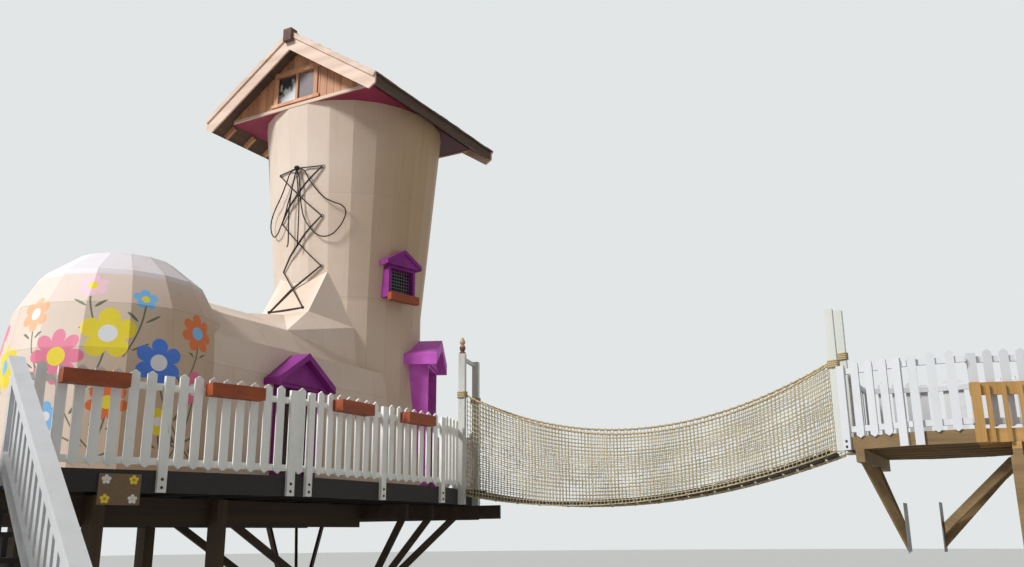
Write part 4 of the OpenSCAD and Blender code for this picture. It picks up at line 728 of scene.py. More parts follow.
def curvePiece(name, points, diameter, rounds=3):  # one open spline that runs smoothly through points
    data = bpy.data.curves.new(name, "CURVE")
    data.dimensions = "3D"
    data.bevel_depth = diameter / 2
    data.bevel_resolution = rounds
    data.resolution_u = 6
    data.use_fill_caps = True
    spline = data.splines.new("BEZIER")
    spline.bezier_points.add(len(points) - 1)
    for knot, point in zip(spline.bezier_points, points):
        knot.co = point
        knot.handle_left_type = knot.handle_right_type = "AUTO"
    piece = bpy.data.objects.new(name, data)
    bpy.context.scene.collection.objects.link(piece)
    return piece


# The shaft's flat sides, on which the laces lie, as in the part's own source
shaft = {"radius": 1.054, "topRadius": 1.323, "top": 5.360, "flare": 2.513, "sides": 24}


def shaftRadius(z):
    s = shaft
    if z < s["flare"]:
        return s["radius"]
    return s["radius"] + (s["topRadius"] - s["radius"]) * (z - s["flare"]) / (s["top"] - s["flare"])


def onShaft(across, z, off):  # a place on the toe side, standing off the flat sides
    step = 2 * math.pi / shaft["sides"]
    bearing = math.pi - math.asin(across / shaftRadius(z))
    flat = shaftRadius(z) * math.cos(step / 2) / math.cos(bearing - step * round(bearing / step)) + off
    return at(-math.sqrt(flat * flat - across * across), across, z)


# The bow's loops and the lace's ends, as distances across the shaft and heights
lace = {
    "diameter": 0.018,
    "knot": onShaft(-0.010, 4.405, 0.0576),
    "knotRadius": 0.040,
    "loopOff": 0.0576,
    "endOff": 0.0774,
    "gap": 0.0003,
}
laceRoutes = {
    "bow_loop_right": {
        "length": 2.65, "closed": True,
        "route": [(-0.130, 4.360), (-0.215, 4.210), (-0.325, 4.050), (-0.440, 3.925), (-0.550, 3.860),
                  (-0.645, 3.815), (-0.690, 3.735), (-0.665, 3.620), (-0.595, 3.495), (-0.505, 3.405),
                  (-0.390, 3.385), (-0.290, 3.440), (-0.195, 3.550), (-0.125, 3.675), (-0.085, 3.830),
                  (-0.065, 3.980), (-0.060, 4.140), (-0.045, 4.280)]},
    "bow_loop_left": {
        "length": 2.30, "closed": True,
        "route": [(0.095, 4.370), (0.195, 4.220), (0.315, 4.070), (0.455, 3.925), (0.575, 3.845),
                  (0.640, 3.760), (0.640, 3.660), (0.570, 3.560), (0.460, 3.525), (0.335, 3.640),
                  (0.225, 3.800), (0.165, 3.920), (0.110, 4.050), (0.065, 4.190), (0.035, 4.290)]},
    "lace_end_right": {
        "length": 1.11, "closed": False,
        "route": [(-0.025, 4.300), (-0.032, 4.230), (-0.038, 4.150), (-0.046, 4.060), (-0.052, 3.970),
                  (-0.054, 3.880), (-0.052, 3.790), (-0.047, 3.700), (-0.041, 3.610), (-0.034, 3.520),
                  (-0.027, 3.430), (-0.020, 3.350), (-0.012, 3.300), (0.004, 3.262)]},
    "lace_end_left": {
        "length": 1.10, "closed": False,
        "route": [(0.010, 4.300), (0.030, 4.230), (0.050, 4.170), (0.068, 4.110), (0.086, 4.030),
                  (0.103, 3.950), (0.118, 3.865), (0.129, 3.770), (0.135, 3.670), (0.139, 3.570),
                  (0.142, 3.460), (0.147, 3.380), (0.158, 3.325), (0.182, 3.300)]},
}


def leaveKnot(point):  # where a strand that heads for a point leaves the knot
    away = (point - lace["knot"]).normalized()
    return lace["knot"] + away * (lace["knotRadius"] + lace["gap"])


def makeLaceStrand(name, s):
    off = lace["loopOff"] if s["closed"] else lace["endOff"]
    points = [onShaft(across, z, off) for across, z in s["route"]]
    points = [leaveKnot(points[0])] + points + ([leaveKnot(points[-1])] if s["closed"] else [])
    piece = curvePiece(name + "_rope", points, lace["diameter"])
    piece.data.materials.append(laceRope.material)
    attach(piece, "root")
    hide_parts(name)
    tuple(points[0])


for name, settings in laceRoutes.items():
    makeLaceStrand(name, settings)
print("laces hung:", len(laceRoutes))


# Bridge: the ropes hang between the deck's rim and the second platform
bridge = {
    "sides": (0.410, 1.070),
    "rimStart": (-0.300, -1.865),
    "rimTurn": math.radians(15),
    "farEnd": -6.740,
    "postWidth": 0.089,
    "footIn": 0.060,
    "ropeDiameter": 0.026,
    "ropePitch": 0.085,
    "handStartHeight": 1.280,
    "handEndHeights": (1.250, 1.440),
    "handSags": (0.660, 0.620),
    "footStartHeight": -0.060,
    "footEndHeight": 0.310,
    "footSag": 0.340,
    "ropeSteps": 440,
    "wrapDiameter": 0.022,
    "wrapTurns": 4,
}


def rimAt(x):
    return bridge["rimStart"][1] + (x - bridge["rimStart"][0]) * math.tan(bridge["rimTurn"])


def handStart(x):
    width, turn = bridge["postWidth"], bridge["rimTurn"]
    return rimAt(x - width * math.sin(turn)) - width * math.cos(turn)


def hang(start, end, sag, share):
    return start + (end - start) * share - 4 * sag * share * (1 - share)


def handHeight(side, y):
    start, end = handStart(bridge["sides"][side]), bridge["farEnd"] + bridge["postWidth"]
    return hang(bridge["handStartHeight"], bridge["handEndHeights"][side], bridge["handSags"][side],
                (start - y) / (start - end))


def footHeight(y):
    start = rimAt(bridge["sides"][0]) - 0.020
    return hang(bridge["footStartHeight"], bridge["footEndHeight"], bridge["footSag"],
                (start - y) / (start - bridge["farEnd"]))


def postWrap(centre, turn, s=bridge):  # rope turns round a square post
    reach = s["postWidth"] / 2 + s["wrapDiameter"] / 2
    stepsInTurn = 28
    route = []
    for step in range(s["wrapTurns"] * stepsInTurn + 1):
        angle = 2 * math.pi * step / stepsInTurn
        cosine, sine = math.cos(angle), math.sin(angle)
        out = reach / (abs(cosine) ** 7 + abs(sine) ** 7) ** (1 / 7)
        rise = s["wrapDiameter"] * (step / stepsInTurn - s["wrapTurns"] / 2)
        route.append(centre + Vector((out * math.cos(angle + turn), out * math.sin(angle + turn), rise)))
    return route


def makeBridgeRopes(s):
    strands = []
    wraps = []
    half = s["postWidth"] / 2
    farFace = s["farEnd"] + s["postWidth"]
    for side, x in enumerate(s["sides"]):
        hand = [at(x, y, handHeight(side, y))
                for y in evenly(handStart(x) - 0.004, farFace + 0.004, s["ropeSteps"])]
        footX = x + s["footIn"] if side == 0 else x - s["footIn"]
        foot = [at(footX, y, footHeight(y))
                for y in evenly(rimAt(footX) - 0.006, s["farEnd"] + 0.004, s["ropeSteps"])]
        strands += laidStrands(hand, s["ropeDiameter"], s["ropePitch"])
        strands += laidStrands(foot, s["ropeDiameter"], s["ropePitch"])
        near = at(x - half * math.sin(s["rimTurn"]), handStart(x) + half * math.cos(s["rimTurn"]),
                  s["handStartHeight"])
        far = at(x, s["farEnd"] + half, s["handEndHeights"][side])
        wraps += [postWrap(near, s["rimTurn"]), postWrap(far, 0.0)]
    ropes = cordage(strands, s["ropeDiameter"] * laid["strandShare"], 1)
    turns = cordage(wraps, s["wrapDiameter"], 2)
    finishPiece(joined([ropes, turns]), "twisted_ropes", bridgeRope, "rope", "bridge_ropes")


makeBridgeRopes(bridge)


# Side nets: knotted twine with an edge rope, lashed to the hand ropes
net = {
    "cell": 0.048,
    "rows": 21,
    "twine": 0.0085,
    "knotSwell": 1.55,
    "wander": 0.006,
    "bulge": 0.016,
    "edgeRope": 0.015,
    "lashing": 0.007,
    "lashingPitch": 0.096,
    "tieGap": 0.336,
    "seed": 11,
}


def makeSideNet(side, s):
    chance = random.Random(s["seed"] + side)
    x = bridge["sides"][side]
    start = handStart(x) - bridge["ropeDiameter"] - 0.004
    end = bridge["farEnd"] + bridge["postWidth"] + bridge["ropeDiameter"] + 0.004
    columns = round((start - end) / s["cell"])
    knots = []
    for y in evenly(start, end, columns):
        low, high = footHeight(y) - 0.012, handHeight(side, y) - bridge["ropeDiameter"] / 2
        line = []
        for height in evenly(low, high, s["rows"]):
            free = math.sin(math.pi * (height - low) / (high - low))
            line.append(at(x + (chance.uniform(-0.4, 0.4) + math.sin(y * 2.3 + side)) * s["bulge"] * free,
                           y + chance.uniform(-1, 1) * s["wander"] * free,
                           height + chance.uniform(-1, 1) * s["wander"] * free))
        knots.append(line)
    upright = [throughMiddles(line) for line in knots]
    along = [throughMiddles([line[row] for line in knots]) for row in range(1, s["rows"])]
    twine = cordage(upright + along, s["twine"], 0, lambda index: 1 if index % 2 else s["knotSwell"])
    edge = laidStrands([line[0] for line in knots], s["edgeRope"], 0.06)
    turns = (start - end) / s["lashingPitch"]
    reach = bridge["ropeDiameter"] / 2 + s["lashing"] / 2
    lashing = []
    for share in evenly(0, 1, round(turns * 10)):
        y = start + (end - start) * share
        angle = 2 * math.pi * turns * share
        lashing.append(at(x + reach * math.cos(angle), y, handHeight(side, y) + reach * math.sin(angle)))
    inwards = bridge["footIn"] if side == 0 else -bridge["footIn"]
    ties = []
    for y in evenly(start - 0.1, end + 0.1, round((start - end) / s["tieGap"])):
        ties.append([at(x + inwards * (0.5 - 0.78 * math.cos(2 * math.pi * step / 12)),
                        y, footHeight(y) - 0.002 + 0.021 * math.sin(2 * math.pi * step / 12))
                     for step in range(13)])
    small = cordage([lashing] + ties, s["lashing"], 1)
    edges = cordage(edge, s["edgeRope"] * laid["strandShare"], 1)
    return joined([twine, small, edges])


def throughMiddles(knots):  # the knots with the middles between them
    route = [knots[0]]
    for before, after in zip(knots, knots[1:]):
        route += [(before + after) / 2, after]
    return route


nearNet, farNet = makeSideNet(0, net), makeSideNet(1, net)
finishPiece(nearNet, "near_net", netCord, "rope_net", "side_nets")
finishPiece(farNet, "far_net", netCord, "rope_net", "side_nets")


# Lacing: runs between the eyelets, the knot and the eyelet rings
lacing = {
    "rows": ((0.386, 4.404), (0.358, 3.694), (0.335, 2.990)),
    "off": 0.0193,
    "low": (-1.339, 0.293, 2.347),
    "bend": (-1.158, 0.090, 2.680),
    "doubleGap": 0.014,
    "ringRadius": 0.021,
    "ringWire": 0.009,
    "knotTurns": 7,
    "lowKnotReach": 0.014,
    "lowKnotTurns": 3,
}


def laceRun(start, end, bulge, steps=12):  # a lace pulled across the flat sides, a little off them
    route = []
    for share in evenly(0, 1, steps):
        across = start[0] + (end[0] - start[0]) * share
        height = start[1] + (end[1] - start[1]) * share
        route.append(onShaft(across, height, lacing["off"] + bulge * math.sin(math.pi * share)))
    return route


def doubled(route, gap):  # a second strand close beside the first
    ends = (route[-1] - route[0]).normalized()
    beside = ends.cross(Vector((1, 0, 0))).normalized() * gap
    last = len(route) - 1
    return [place + beside * math.sin(math.pi * (0.08 + 0.84 * index / last))
            for index, place in enumerate(route)]


def woundKnot(centre, reach, turns):  # a cord wound into a small ball
    route = []
    for step in range(turns * 16):
        turn = 2 * math.pi * step / 16
        lean = turn / turns
        place = Vector((math.cos(turn) * math.cos(lean), math.cos(turn) * math.sin(lean), math.sin(turn)))
        route.append(centre + place * reach)
    return route


def makeLacing(s):
    rows = s["rows"]
    lowX, lowY, lowZ = s["low"]
    routes = []
    for side in (-1, 1):
        over = 1.3 * lace["diameter"] if side < 0 else 0.0
        for (wide, high), (nextWide, nextHigh) in zip(rows, rows[1:]):
            routes.append(laceRun((side * wide, high), (-side * nextWide, nextHigh), over))
            if side < 0:
                routes.append(doubled(routes[-1], s["doubleGap"]))
        wide, high = rows[-1]
        down = onShaft(side * wide, high, s["off"])
        foot = at(lowX, -side * lowY, lowZ)
        if side < 0:  # the near run bends where it meets the instep
            bend = at(*s["bend"])
            routes.append([down + (bend - down) * share for share in evenly(0, 1, 6)]
                          + [bend + (foot - bend) * share for share in evenly(0, 1, 6)[1:]])
            routes.append(doubled(routes[-1], s["doubleGap"]))
        else:
            routes.append([down + (foot - down) * share for share in evenly(0, 1, 8)])
        wide, high = rows[0]
        top = onShaft(side * wide, high, s["off"])
        routes.append([top + (lace["knot"] - top) * share for share in evenly(0, 1, 8)])
    for drop in (0.0, s["doubleGap"]):
        routes.append([at(lowX, lowY * (1 - 2 * share), lowZ - drop * math.sin(math.pi * share))
                       for share in evenly(0, 1, 8)])
    runs = cordage(routes, lace["diameter"], 2)
    knots = [woundKnot(lace["knot"], lace["knotRadius"] - lace["diameter"] * 0.45, s["knotTurns"])]
    for side in (-1, 1):
        knots.append(woundKnot(at(lowX, side * lowY, lowZ), s["lowKnotReach"], s["lowKnotTurns"]))
    finishPiece(joined([runs, cordage(knots, lace["diameter"], 2)]), "crossed_lacing", laceRope, "lace",
                "lacing")


def makeEyelets(s):
    rings = []
    for wide, high in s["rows"]:
        for side in (-1, 1):
            place = onShaft(side * wide, high, s["ringWire"] / 2)
            out = (onShaft(side * wide, high, 1.0) - onShaft(side * wide, high, 0.0)).normalized()
            bpy.ops.mesh.primitive_torus_add(major_radius=s["ringRadius"], minor_radius=s["ringWire"] / 2,
                                             major_segments=28, minor_segments=10, location=place,
                                             rotation=out.to_track_quat("Z", "Y").to_euler())
            ring = bpy.context.active_object
            bpy.ops.object.transform_apply(location=True, rotation=True, scale=True)
            bpy.ops.object.shade_smooth()
            rings.append(ring)
    finishPiece(joined(rings), "eyelet_rings", steel, "steel", "eyelets")


makeLacing(lacing)
makeEyelets(lacing)


# Floor boards, cut from the floor's own outline with narrow gaps
floorBoards = {"board": 0.140, "gap": 0.006, "ease": 0.002}


def makeFloorBoards(name, node, s):
    low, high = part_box(node)
    boards = copyOf(nodes[node])
    for key in list(boards.keys()):
        del boards[key]
    selectOnly(boards)
    bpy.ops.object.mode_set(mode="EDIT")
    bpy.ops.mesh.select_all(action="SELECT")
    bpy.ops.mesh.remove_doubles(threshold=0.0001)
    bpy.ops.mesh.dissolve_limited(angle_limit=0.01)
    bpy.ops.object.mode_set(mode="OBJECT")
    pitch = s["board"] + s["gap"]
    count = int((high.y - low.y) / pitch)
    first = (low.y + high.y) / 2 - pitch * (count - 1) / 2
    bpy.ops.mesh.primitive_cube_add(size=1, location=((low.x + high.x) / 2, first, (low.z + high.z) / 2),
                                    scale=(high.x - low.x + 1, s["gap"], high.z - low.z + 0.02))
    gapCutter = bpy.context.active_object
    bpy.ops.object.transform_apply(location=True, rotation=True, scale=True)
    row = gapCutter.modifiers.new("row", "ARRAY")
    row.count = count
    row.use_relative_offset = False
    row.use_constant_offset = True
    row.constant_offset_displace = (0, pitch, 0)
    bpy.ops.object.modifier_apply(modifier="row")
    cutWith(boards, gapCutter)
    selectOnly(boards)
    eased = boards.modifiers.new("eased", "BEVEL")
    eased.width = s["ease"]
    eased.segments = 1
    eased.angle_limit = math.radians(50)
    bpy.ops.object.modifier_apply(modifier="eased")
    finishPiece(boards, name, woods["floorCedar"], "floor_boards", node)


makeFloorBoards("deck_planking", "deck_boards", floorBoards)
makeFloorBoards("platform_planking", "platform_floor", floorBoards)


# Roof: split shakes on both slopes and a cap along the ridge
roof = {
    "ridge": 6.400,
    "rise": 0.673,
    "halfWidth": 1.530,
    "halfLength": 1.560,
    "thickness": 0.150,
    "hole": 0.390,
    "exposure": 0.200,
    "shakeLength": 0.300,
    "shakeThick": 0.017,
    "shakeWidths": (0.11, 0.21),
    "shakeGap": 0.006,
    "rowRise": 0.009,
    "overhang": 0.030,
    "capWidth": 0.130,
    "capExposure": 0.220,
    "capLift": 0.016,
    "seed": 23,
}
slopeAngle = math.atan(roof["rise"])
slopeLength = roof["halfWidth"] / math.cos(slopeAngle)


def slopeFrame(side):  # along the ridge, up the slope and out of it, with its origin on the ridge line
    cosine, sine = math.cos(slopeAngle), math.sin(slopeAngle)
    turn = Matrix(((-side, 0, 0), (0, -side * cosine, side * sine), (0, sine, cosine))).to_4x4()
    return Matrix.Translation(at(0, 0, roof["ridge"])) @ turn


def addShake(s):  # one split shake, thick at its butt, with its origin under the butt's middle
    bpy.ops.mesh.primitive_cube_add(size=1, location=(0, s["shakeLength"] / 2, s["shakeThick"] / 2),
                                    scale=(1, s["shakeLength"], s["shakeThick"]))
    shake = bpy.context.active_object
    bpy.ops.object.transform_apply(location=True, rotation=True, scale=True)
    bpy.ops.object.mode_set(mode="EDIT")
    bpy.ops.mesh.select_all(action="DESELECT")
    bpy.ops.object.mode_set(mode="OBJECT")
    for corner in shake.data.vertices:
        corner.select = corner.co.y > s["shakeLength"] / 2 and corner.co.z > 0.001
    bpy.ops.object.mode_set(mode="EDIT")
    bpy.ops.transform.translate(value=(0, 0, -0.75 * s["shakeThick"]))
    bpy.ops.mesh.select_all(action="DESELECT")
    bpy.ops.object.mode_set(mode="OBJECT")
    for edge in shake.data.edges:
        ends = [shake.data.vertices[index].co for index in edge.vertices]
        edge.select = all(end.y < 0.001 and end.z > 0.001 for end in ends)
    bpy.ops.object.mode_set(mode="EDIT")
    bpy.ops.mesh.bevel(offset=0.004, segments=1)
    bpy.ops.object.mode_set(mode="OBJECT")
    return shake


def layShake(shake, frameOfSlope, across, up, width, length, lean, chance, s=roof):
    shape = Matrix.Diagonal((width, length / s["shakeLength"], chance.uniform(0.8, 1.25), 1))
    turn = Matrix.Rotation(math.radians(chance.uniform(-0.8, 0.8)), 4, "Z")
    tilt = Matrix.Rotation(-lean, 4, "X")
    place = Matrix.Translation((across, up, s["rowRise"] if lean else 0.001))
    return copyOf(shake, frameOfSlope @ place @ turn @ tilt @ shape, chance.random())


def makeShakes(s):
    chance = random.Random(s["seed"])
    shake = addShake(s)
    lean = math.atan(s["rowRise"] / s["exposure"])
    whole, beside = [], []
    for side in (-1, 1):
        frameOfSlope = slopeFrame(side)
        for row in range(-1, int((slopeLength + s["overhang"]) / s["exposure"])):
            up = -slopeLength - s["overhang"] + max(row, 0) * s["exposure"]
            length = min(s["shakeLength"], -up)
            across = -s["halfLength"]
            while across < s["halfLength"] - 0.04:
                width = min(chance.uniform(*s["shakeWidths"]), s["halfLength"] - across)
                if s["halfLength"] - across - width < 0.06:
                    width = s["halfLength"] - across
                middle = across + width / 2
                raised = layShake(shake, frameOfSlope, middle, up + chance.uniform(-0.008, 0.008),
                                  width - s["shakeGap"], length, lean if row >= 0 else 0.0, chance)
                near = min((corner.co - deckOrigin).xy.length for corner in raised.data.vertices)
                centre = sum(((corner.co - deckOrigin).xy for corner in raised.data.vertices),
                             Vector((0, 0))) / len(raised.data.vertices)
                if centre.length < s["hole"] - 0.08:
                    bpy.data.objects.remove(raised)
                else:
                    (beside if min(near, centre.length) < s["hole"] + 0.02 else whole).append(raised)
                across += width
        along = -s["halfLength"]
        while along < s["halfLength"] - 0.1:  # the cap's pieces lap along the ridge
            length = min(s["shakeLength"], s["halfLength"] - along)
            turn = Matrix.Rotation(math.radians(-90), 4, "Z")
            lift = Matrix.Translation((along, -s["capWidth"] / 2 + 0.012, s["capLift"]))
            shape = Matrix.Diagonal((s["capWidth"], length / s["shakeLength"], 1.2, 1))
            cap = copyOf(shake, frameOfSlope @ lift @ turn @ Matrix.Rotation(-lean, 4, "X") @ shape,
                         chance.random())
            if abs(along + length / 2) < s["hole"]:
                beside.append(cap)
            else:
                whole.append(cap)
            along += s["capExposure"]
    bpy.data.objects.remove(shake)
    for piece in beside:
        bpy.ops.mesh.primitive_cylinder_add(vertices=64, radius=s["hole"] + 0.004, depth=2.4,
                                            location=at(0, 0, s["ridge"]))
        cutWith(piece, bpy.context.active_object)
        if piece.data.polygons:
            whole.append(piece)
        else:
            bpy.data.objects.remove(piece)
    finishPiece(joined(whole), "split_shakes", shakeLook, "roofing")


makeShakes(roof)


# Wood round the roof: trim over the fascia, blocks at the ridge's ends, rafter tails, gable boards
gables = {
    "face": 1.285,
    "wallTop": 6.250,
    "foot": 5.352,
    "wallHalf": 1.288,
    "board": 0.126,
    "boardGap": 0.005,
    "boardThick": 0.018,
    "sill": 0.050,
    "sillThick": 0.016,
    "window": (-0.340, 0.460, 5.425, 5.925),
    "trim": 0.072,
    "trimThick": 0.020,
    "fasciaFace": 1.560,
    "fasciaTop": 6.412,
    "edgeTrim": 0.072,
    "edgeTrimThick": 0.021,
    "blockIn": 0.090,
    "blockOut": 0.045,
    "blockDrop": 0.055,
    "blockWide": 0.150,
    "blockDeep": 0.205,
    "tailPitch": 0.390,
    "tailDeep": 0.090,
    "tailThick": 0.044,
    "tailStart": 1.306,
    "tailInset": 0.050,
    "tailSunk": 0.055,
    "seed": 31,
}


def slopeAt(top, y):
    return top - roof["rise"] * abs(y)


def gableBoard(side, left, right, low, high, s=gables):  # a board whose top follows the roof
    x = side * (s["face"] + s["boardThick"] / 2)
    board = addTimber(at(x, (left + right) / 2, low), at(x, (left + right) / 2, low + 1.0),
                      right - left - s["boardGap"], s["boardThick"], 0.002)
    floor = at(0, 0, low).z
    for corner in board.data.vertices:
        if corner.co.z > floor + 0.5:
            top = min(slopeAt(s["wallTop"] - 0.006, corner.co.y - deckOrigin.y), high)
            corner.co.z = floor + 0.001 + (top - low) + (corner.co.z - floor - 1.0)
    return board


def makeGableBoards(s):
    chance = random.Random(s["seed"])
    half = s["wallHalf"]
    left, right, low, high = s["window"]
    boards = []
    count = int(half / s["board"]) + 1
    for side in (-1, 1):
        for number in range(-count, count):
            start = max(number * s["board"], -half + 0.012)
            end = min((number + 1) * s["board"], half - 0.012)
            if end - start < 0.03:
                continue
            spans = [(start, end, s["foot"], s["wallTop"])]
            if side < 0 and end > left and start < right:
                spans = [(start, end, s["foot"], low + 0.012), (start, end, high - 0.012, s["wallTop"])]
                spans += [(start, left, low, high)] if start < left - 0.02 else []
                spans += [(right, end, low, high)] if end > right + 0.02 else []
            for a, b, foot, top in spans:
                if slopeAt(s["wallTop"], max(abs(a), abs(b))) - foot > 0.02 and top - foot > 0.02:
                    boards.append(gableBoard(side, a, b, foot, top))
                    setTone(boards[-1], chance.random())
    finishPiece(joined(boards), "gable_siding", sidingLook, "cedar_siding")


def makeSills(s):  # a pale strip along the foot of each gable wall
    sills = []
    for side in (-1, 1):
        x, z = side * (s["face"] + s["boardThick"] + s["sillThick"] / 2), s["foot"] + s["sill"] / 2 - 0.004
        far = (s["wallTop"] - 0.02 - s["foot"] - s["sill"]) / roof["rise"]
        sills.append(addTimber(at(x, -far, z), at(x, far, z), s["sillThick"], s["sill"]))
        setTone(sills[-1], 0.5)
    finishPiece(joined(sills), "gable_sills", fasciaLook, "pale_fascia")


def makeWindowTrim(s):
    left, right, low, high = s["window"]
    wide, thick = s["trim"], s["trimThick"]
    x = -s["face"] - s["boardThick"] - thick / 2
    jambTop, sillMiddle = high - wide / 2, low + 0.012
    parts = [addTimber(at(x, left + wide / 2, low), at(x, left + wide / 2, jambTop), wide, thick),
             addTimber(at(x, right - wide / 2, low), at(x, right - wide / 2, jambTop - 0.02), wide, thick),
             addTimber(at(x, left - 0.03, high), at(x, right + 0.002, high), thick, wide),
             addTimber(at(x - 0.004, left - 0.04, sillMiddle), at(x - 0.004, right + 0.04, sillMiddle),
                       thick * 1.5, wide * 0.7)]
    for number, part in enumerate(parts):
        setTone(part, 0.35 + 0.15 * number)
    finishPiece(joined(parts), "window_trim", sidingLook, "cedar_siding")


def makeEdgeTrim(s):
    strips = []
    for side in (-1, 1):
        for slope in (-1, 1):
            x = side * (s["fasciaFace"] + s["edgeTrimThick"] / 2)
            drop = s["edgeTrim"] / 2 / math.cos(slopeAngle)
            far = roof["halfWidth"] + 0.012
            strips.append(addTimber(at(x, slope * 0.002, s["fasciaTop"] + 0.012 - drop),
                                    at(x, slope * far, slopeAt(s["fasciaTop"] + 0.012 - drop, far)),
                                    s["edgeTrimThick"], s["edgeTrim"]))
            setTone(strips[-1], 0.5 + 0.2 * slope)
    finishPiece(joined(strips), "edge_trim", fasciaLook, "pale_fascia")


def makeRidgeBlocks(s):
    blocks = []
    for side in (-1, 1):
        x = side * (s["fasciaFace"] + s["edgeTrimThick"])
        z = roof["ridge"] - s["blockDrop"]
        block = addTimber(at(x - side * s["blockIn"], 0, z), at(x + side * s["blockOut"], 0, z),
                          s["blockWide"], s["blockDeep"], 0.006)
        for corner in block.data.vertices:
            if corner.co.z > at(0, 0, roof["ridge"]).z:
                corner.co.z -= 0.25 * roof["rise"] * abs(corner.co.y - deckOrigin.y)
        blocks.append(block)
    finishPiece(joined(blocks), "ridge_blocks", woods["ridgeWood"], "roofing")


def makeRafterTails(s):  # they show under the back eave only
    tails = []
    count = int(2 * s["face"] / s["tailPitch"])
    near, far = s["tailStart"], roof["halfWidth"] - s["tailInset"]
    middle = roof["ridge"] - roof["thickness"] + s["tailSunk"] - s["tailDeep"]
    for number, x in enumerate(evenly(0.06 - s["face"], s["face"] - 0.06, count)):
        tails.append(addTimber(at(x, near, slopeAt(middle, near)), at(x, far, slopeAt(middle, far)),
                               s["tailThick"], s["tailDeep"]))
        setTone(tails[-1], (number % 3) / 2)
    finishPiece(joined(tails), "rafter_tails", sidingLook, "cedar_siding")


makeGableBoards(gables)
makeSills(gables)
makeWindowTrim(gables)
makeEdgeTrim(gables)
makeRidgeBlocks(gables)
makeRafterTails(gables)


# Bolts: dark hexagon heads on washers
bolts = {
    "headRadius": 0.0095,
    "headThick": 0.007,
    "washerRadius": 0.0145,
    "washerThick": 0.0025,
    "heights": (-0.080, -0.155),
    "deckMiddle": (-2.3, 0.0),
    "platformHeights": (-0.045, -0.105),
    "platformLevel": 0.410,
    "platformMiddle": (1.24, -8.04),
}


def addBolt(s):  # a head on its washer, which points up from the origin
    bpy.ops.mesh.primitive_cylinder_add(vertices=16, radius=s["washerRadius"], depth=s["washerThick"],
                                        location=(0, 0, s["washerThick"] / 2))
    washer = bpy.context.active_object
    bpy.ops.mesh.primitive_cylinder_add(vertices=6, radius=s["headRadius"], depth=s["headThick"],
                                        location=(0, 0, s["washerThick"] + s["headThick"] / 2))
    head = bpy.context.active_object
    bpy.ops.object.transform_apply(location=True, rotation=True, scale=True)
    top = s["washerThick"] + s["headThick"]
    for face in head.data.polygons:
        face.select = face.center.z > top - 0.0001
    bpy.ops.object.mode_set(mode="EDIT")
    bpy.ops.mesh.inset(thickness=0.0025, depth=0.0012)
    bpy.ops.object.mode_set(mode="OBJECT")
    selectOnly(washer)
    bpy.ops.object.transform_apply(location=True, rotation=True, scale=True)
    return joined([washer, head])


def postFeet(node, floor):  # each fence post's place and the way it faces, read from the frame
    feet = []
    for corner in nodes[node].data.vertices:
        if abs(corner.co.z - floor) > 0.001:
            continue
        for foot in feet:
            if (foot[0] - corner.co).length < 0.11:
                foot.append(corner.co.copy())
                break
        else:
            feet.append([corner.co.copy()])
    for foot in feet:
        corners = []
        for corner in foot:
            if all((corner - other).length > 0.005 for other in corners):
                corners.append(corner)
        if len(corners) == 4:
            gaps = sorted((other - corners[0] for other in corners[1:]), key=lambda gap: gap.length)
            yield sum(corners, Vector()) / 4, gaps[0].normalized(), gaps[0].length


def makeFenceBolts(s):
    bolt = addBolt(s)
    copies = []
    fences = [(name, 0.0, Vector(s["deckMiddle"]), s["heights"]) for name in
              ("fence_front_left", "fence_front_right", "fence_heel", "fence_back", "fence_toe")]
    fences.append(("platform_fence", s["platformLevel"], Vector(s["platformMiddle"]), s["platformHeights"]))
    for node, level, middle, heights in fences:
        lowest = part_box(node)[0].z
        for place, facing, thick in postFeet(node, lowest):
            outwards = (place - deckOrigin).xy - middle
            if facing.xy.dot(outwards) < 0:
                facing = -facing
            turn = facing.to_track_quat("Z", "Y").to_matrix().to_4x4()
            for height in heights:
                spot = Vector((place.x, place.y, at(0, 0, level + height).z)) + facing * thick / 2
                copies.append(copyOf(bolt, Matrix.Translation(spot) @ turn))
    bpy.data.objects.remove(bolt)
    finishPiece(joined(copies), "fence_bolts", darkSteel, "steel")


makeFenceBolts(bolts)


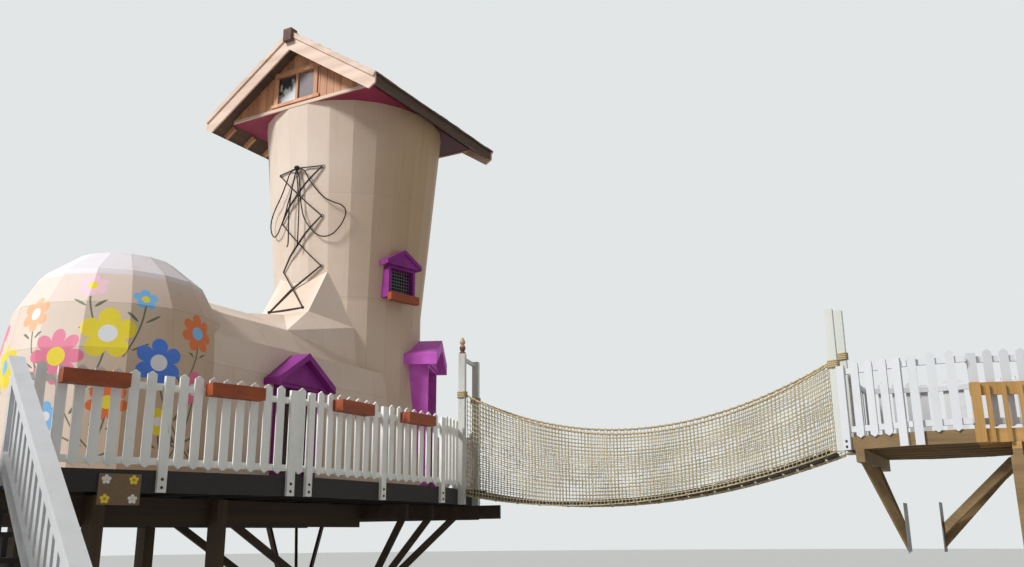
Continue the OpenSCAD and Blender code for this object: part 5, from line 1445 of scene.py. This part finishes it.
# Floor, light and background
stageSettings = {
    "floorRadius": 90.0,
    "floorColour": rgb(190, 192, 190),
    "skyColour": rgb(226, 230, 230),
    "fillColour": (1.0, 0.975, 0.95, 1.0),
    "fillStrength": 0.28,
    "sunStrength": 3.4,
    "sunTurn": (50.0, 0.0, -120.0),
    "sunAngle": 14.0,
}


def makeStage(s):
    bpy.ops.mesh.primitive_circle_add(vertices=96, radius=s["floorRadius"], fill_type="NGON",
                                      location=(deckOrigin.x, deckOrigin.y, 0))
    floor = bpy.context.active_object
    floor.name = "studioFloor"
    look = Look("studioFloor", roughness=0.9)
    speckle = look.noise(1.5, 4.0)
    look.feed("Base Color", look.shaded(s["floorColour"][:3], speckle * 0.04 + 0.98))
    floor.data.materials.append(look.material)
    world = bpy.data.worlds.new("studioWorld")
    bpy.context.scene.world = world
    world.use_nodes = True
    tree = world.node_tree
    tree.nodes.clear()
    output = tree.nodes.new("ShaderNodeOutputWorld")
    mix = tree.nodes.new("ShaderNodeMixShader")
    rays = tree.nodes.new("ShaderNodeLightPath")
    seen = tree.nodes.new("ShaderNodeMath")
    seen.operation = "MAXIMUM"
    tree.links.new(rays.outputs["Is Camera Ray"], seen.inputs[0])
    tree.links.new(rays.outputs["Is Glossy Ray"], seen.inputs[1])
    lit, shown = tree.nodes.new("ShaderNodeBackground"), tree.nodes.new("ShaderNodeBackground")
    lit.inputs[0].default_value = s["fillColour"]
    lit.inputs[1].default_value = s["fillStrength"]
    shown.inputs[0].default_value = s["skyColour"]
    shown.inputs[1].default_value = 1.0
    tree.links.new(seen.outputs[0], mix.inputs[0])
    tree.links.new(lit.outputs[0], mix.inputs[1])
    tree.links.new(shown.outputs[0], mix.inputs[2])
    tree.links.new(mix.outputs[0], output.inputs[0])
    sun = bpy.data.lights.new("softSun", "SUN")
    sun.energy = s["sunStrength"]
    sun.angle = math.radians(s["sunAngle"])
    lamp = bpy.data.objects.new("softSun", sun)
    lamp.rotation_euler = [math.radians(turn) for turn in s["sunTurn"]]
    bpy.context.scene.collection.objects.link(lamp)
    bpy.context.scene.view_settings.view_transform = "Standard"


makeStage(stageSettings)
print("stage lit")
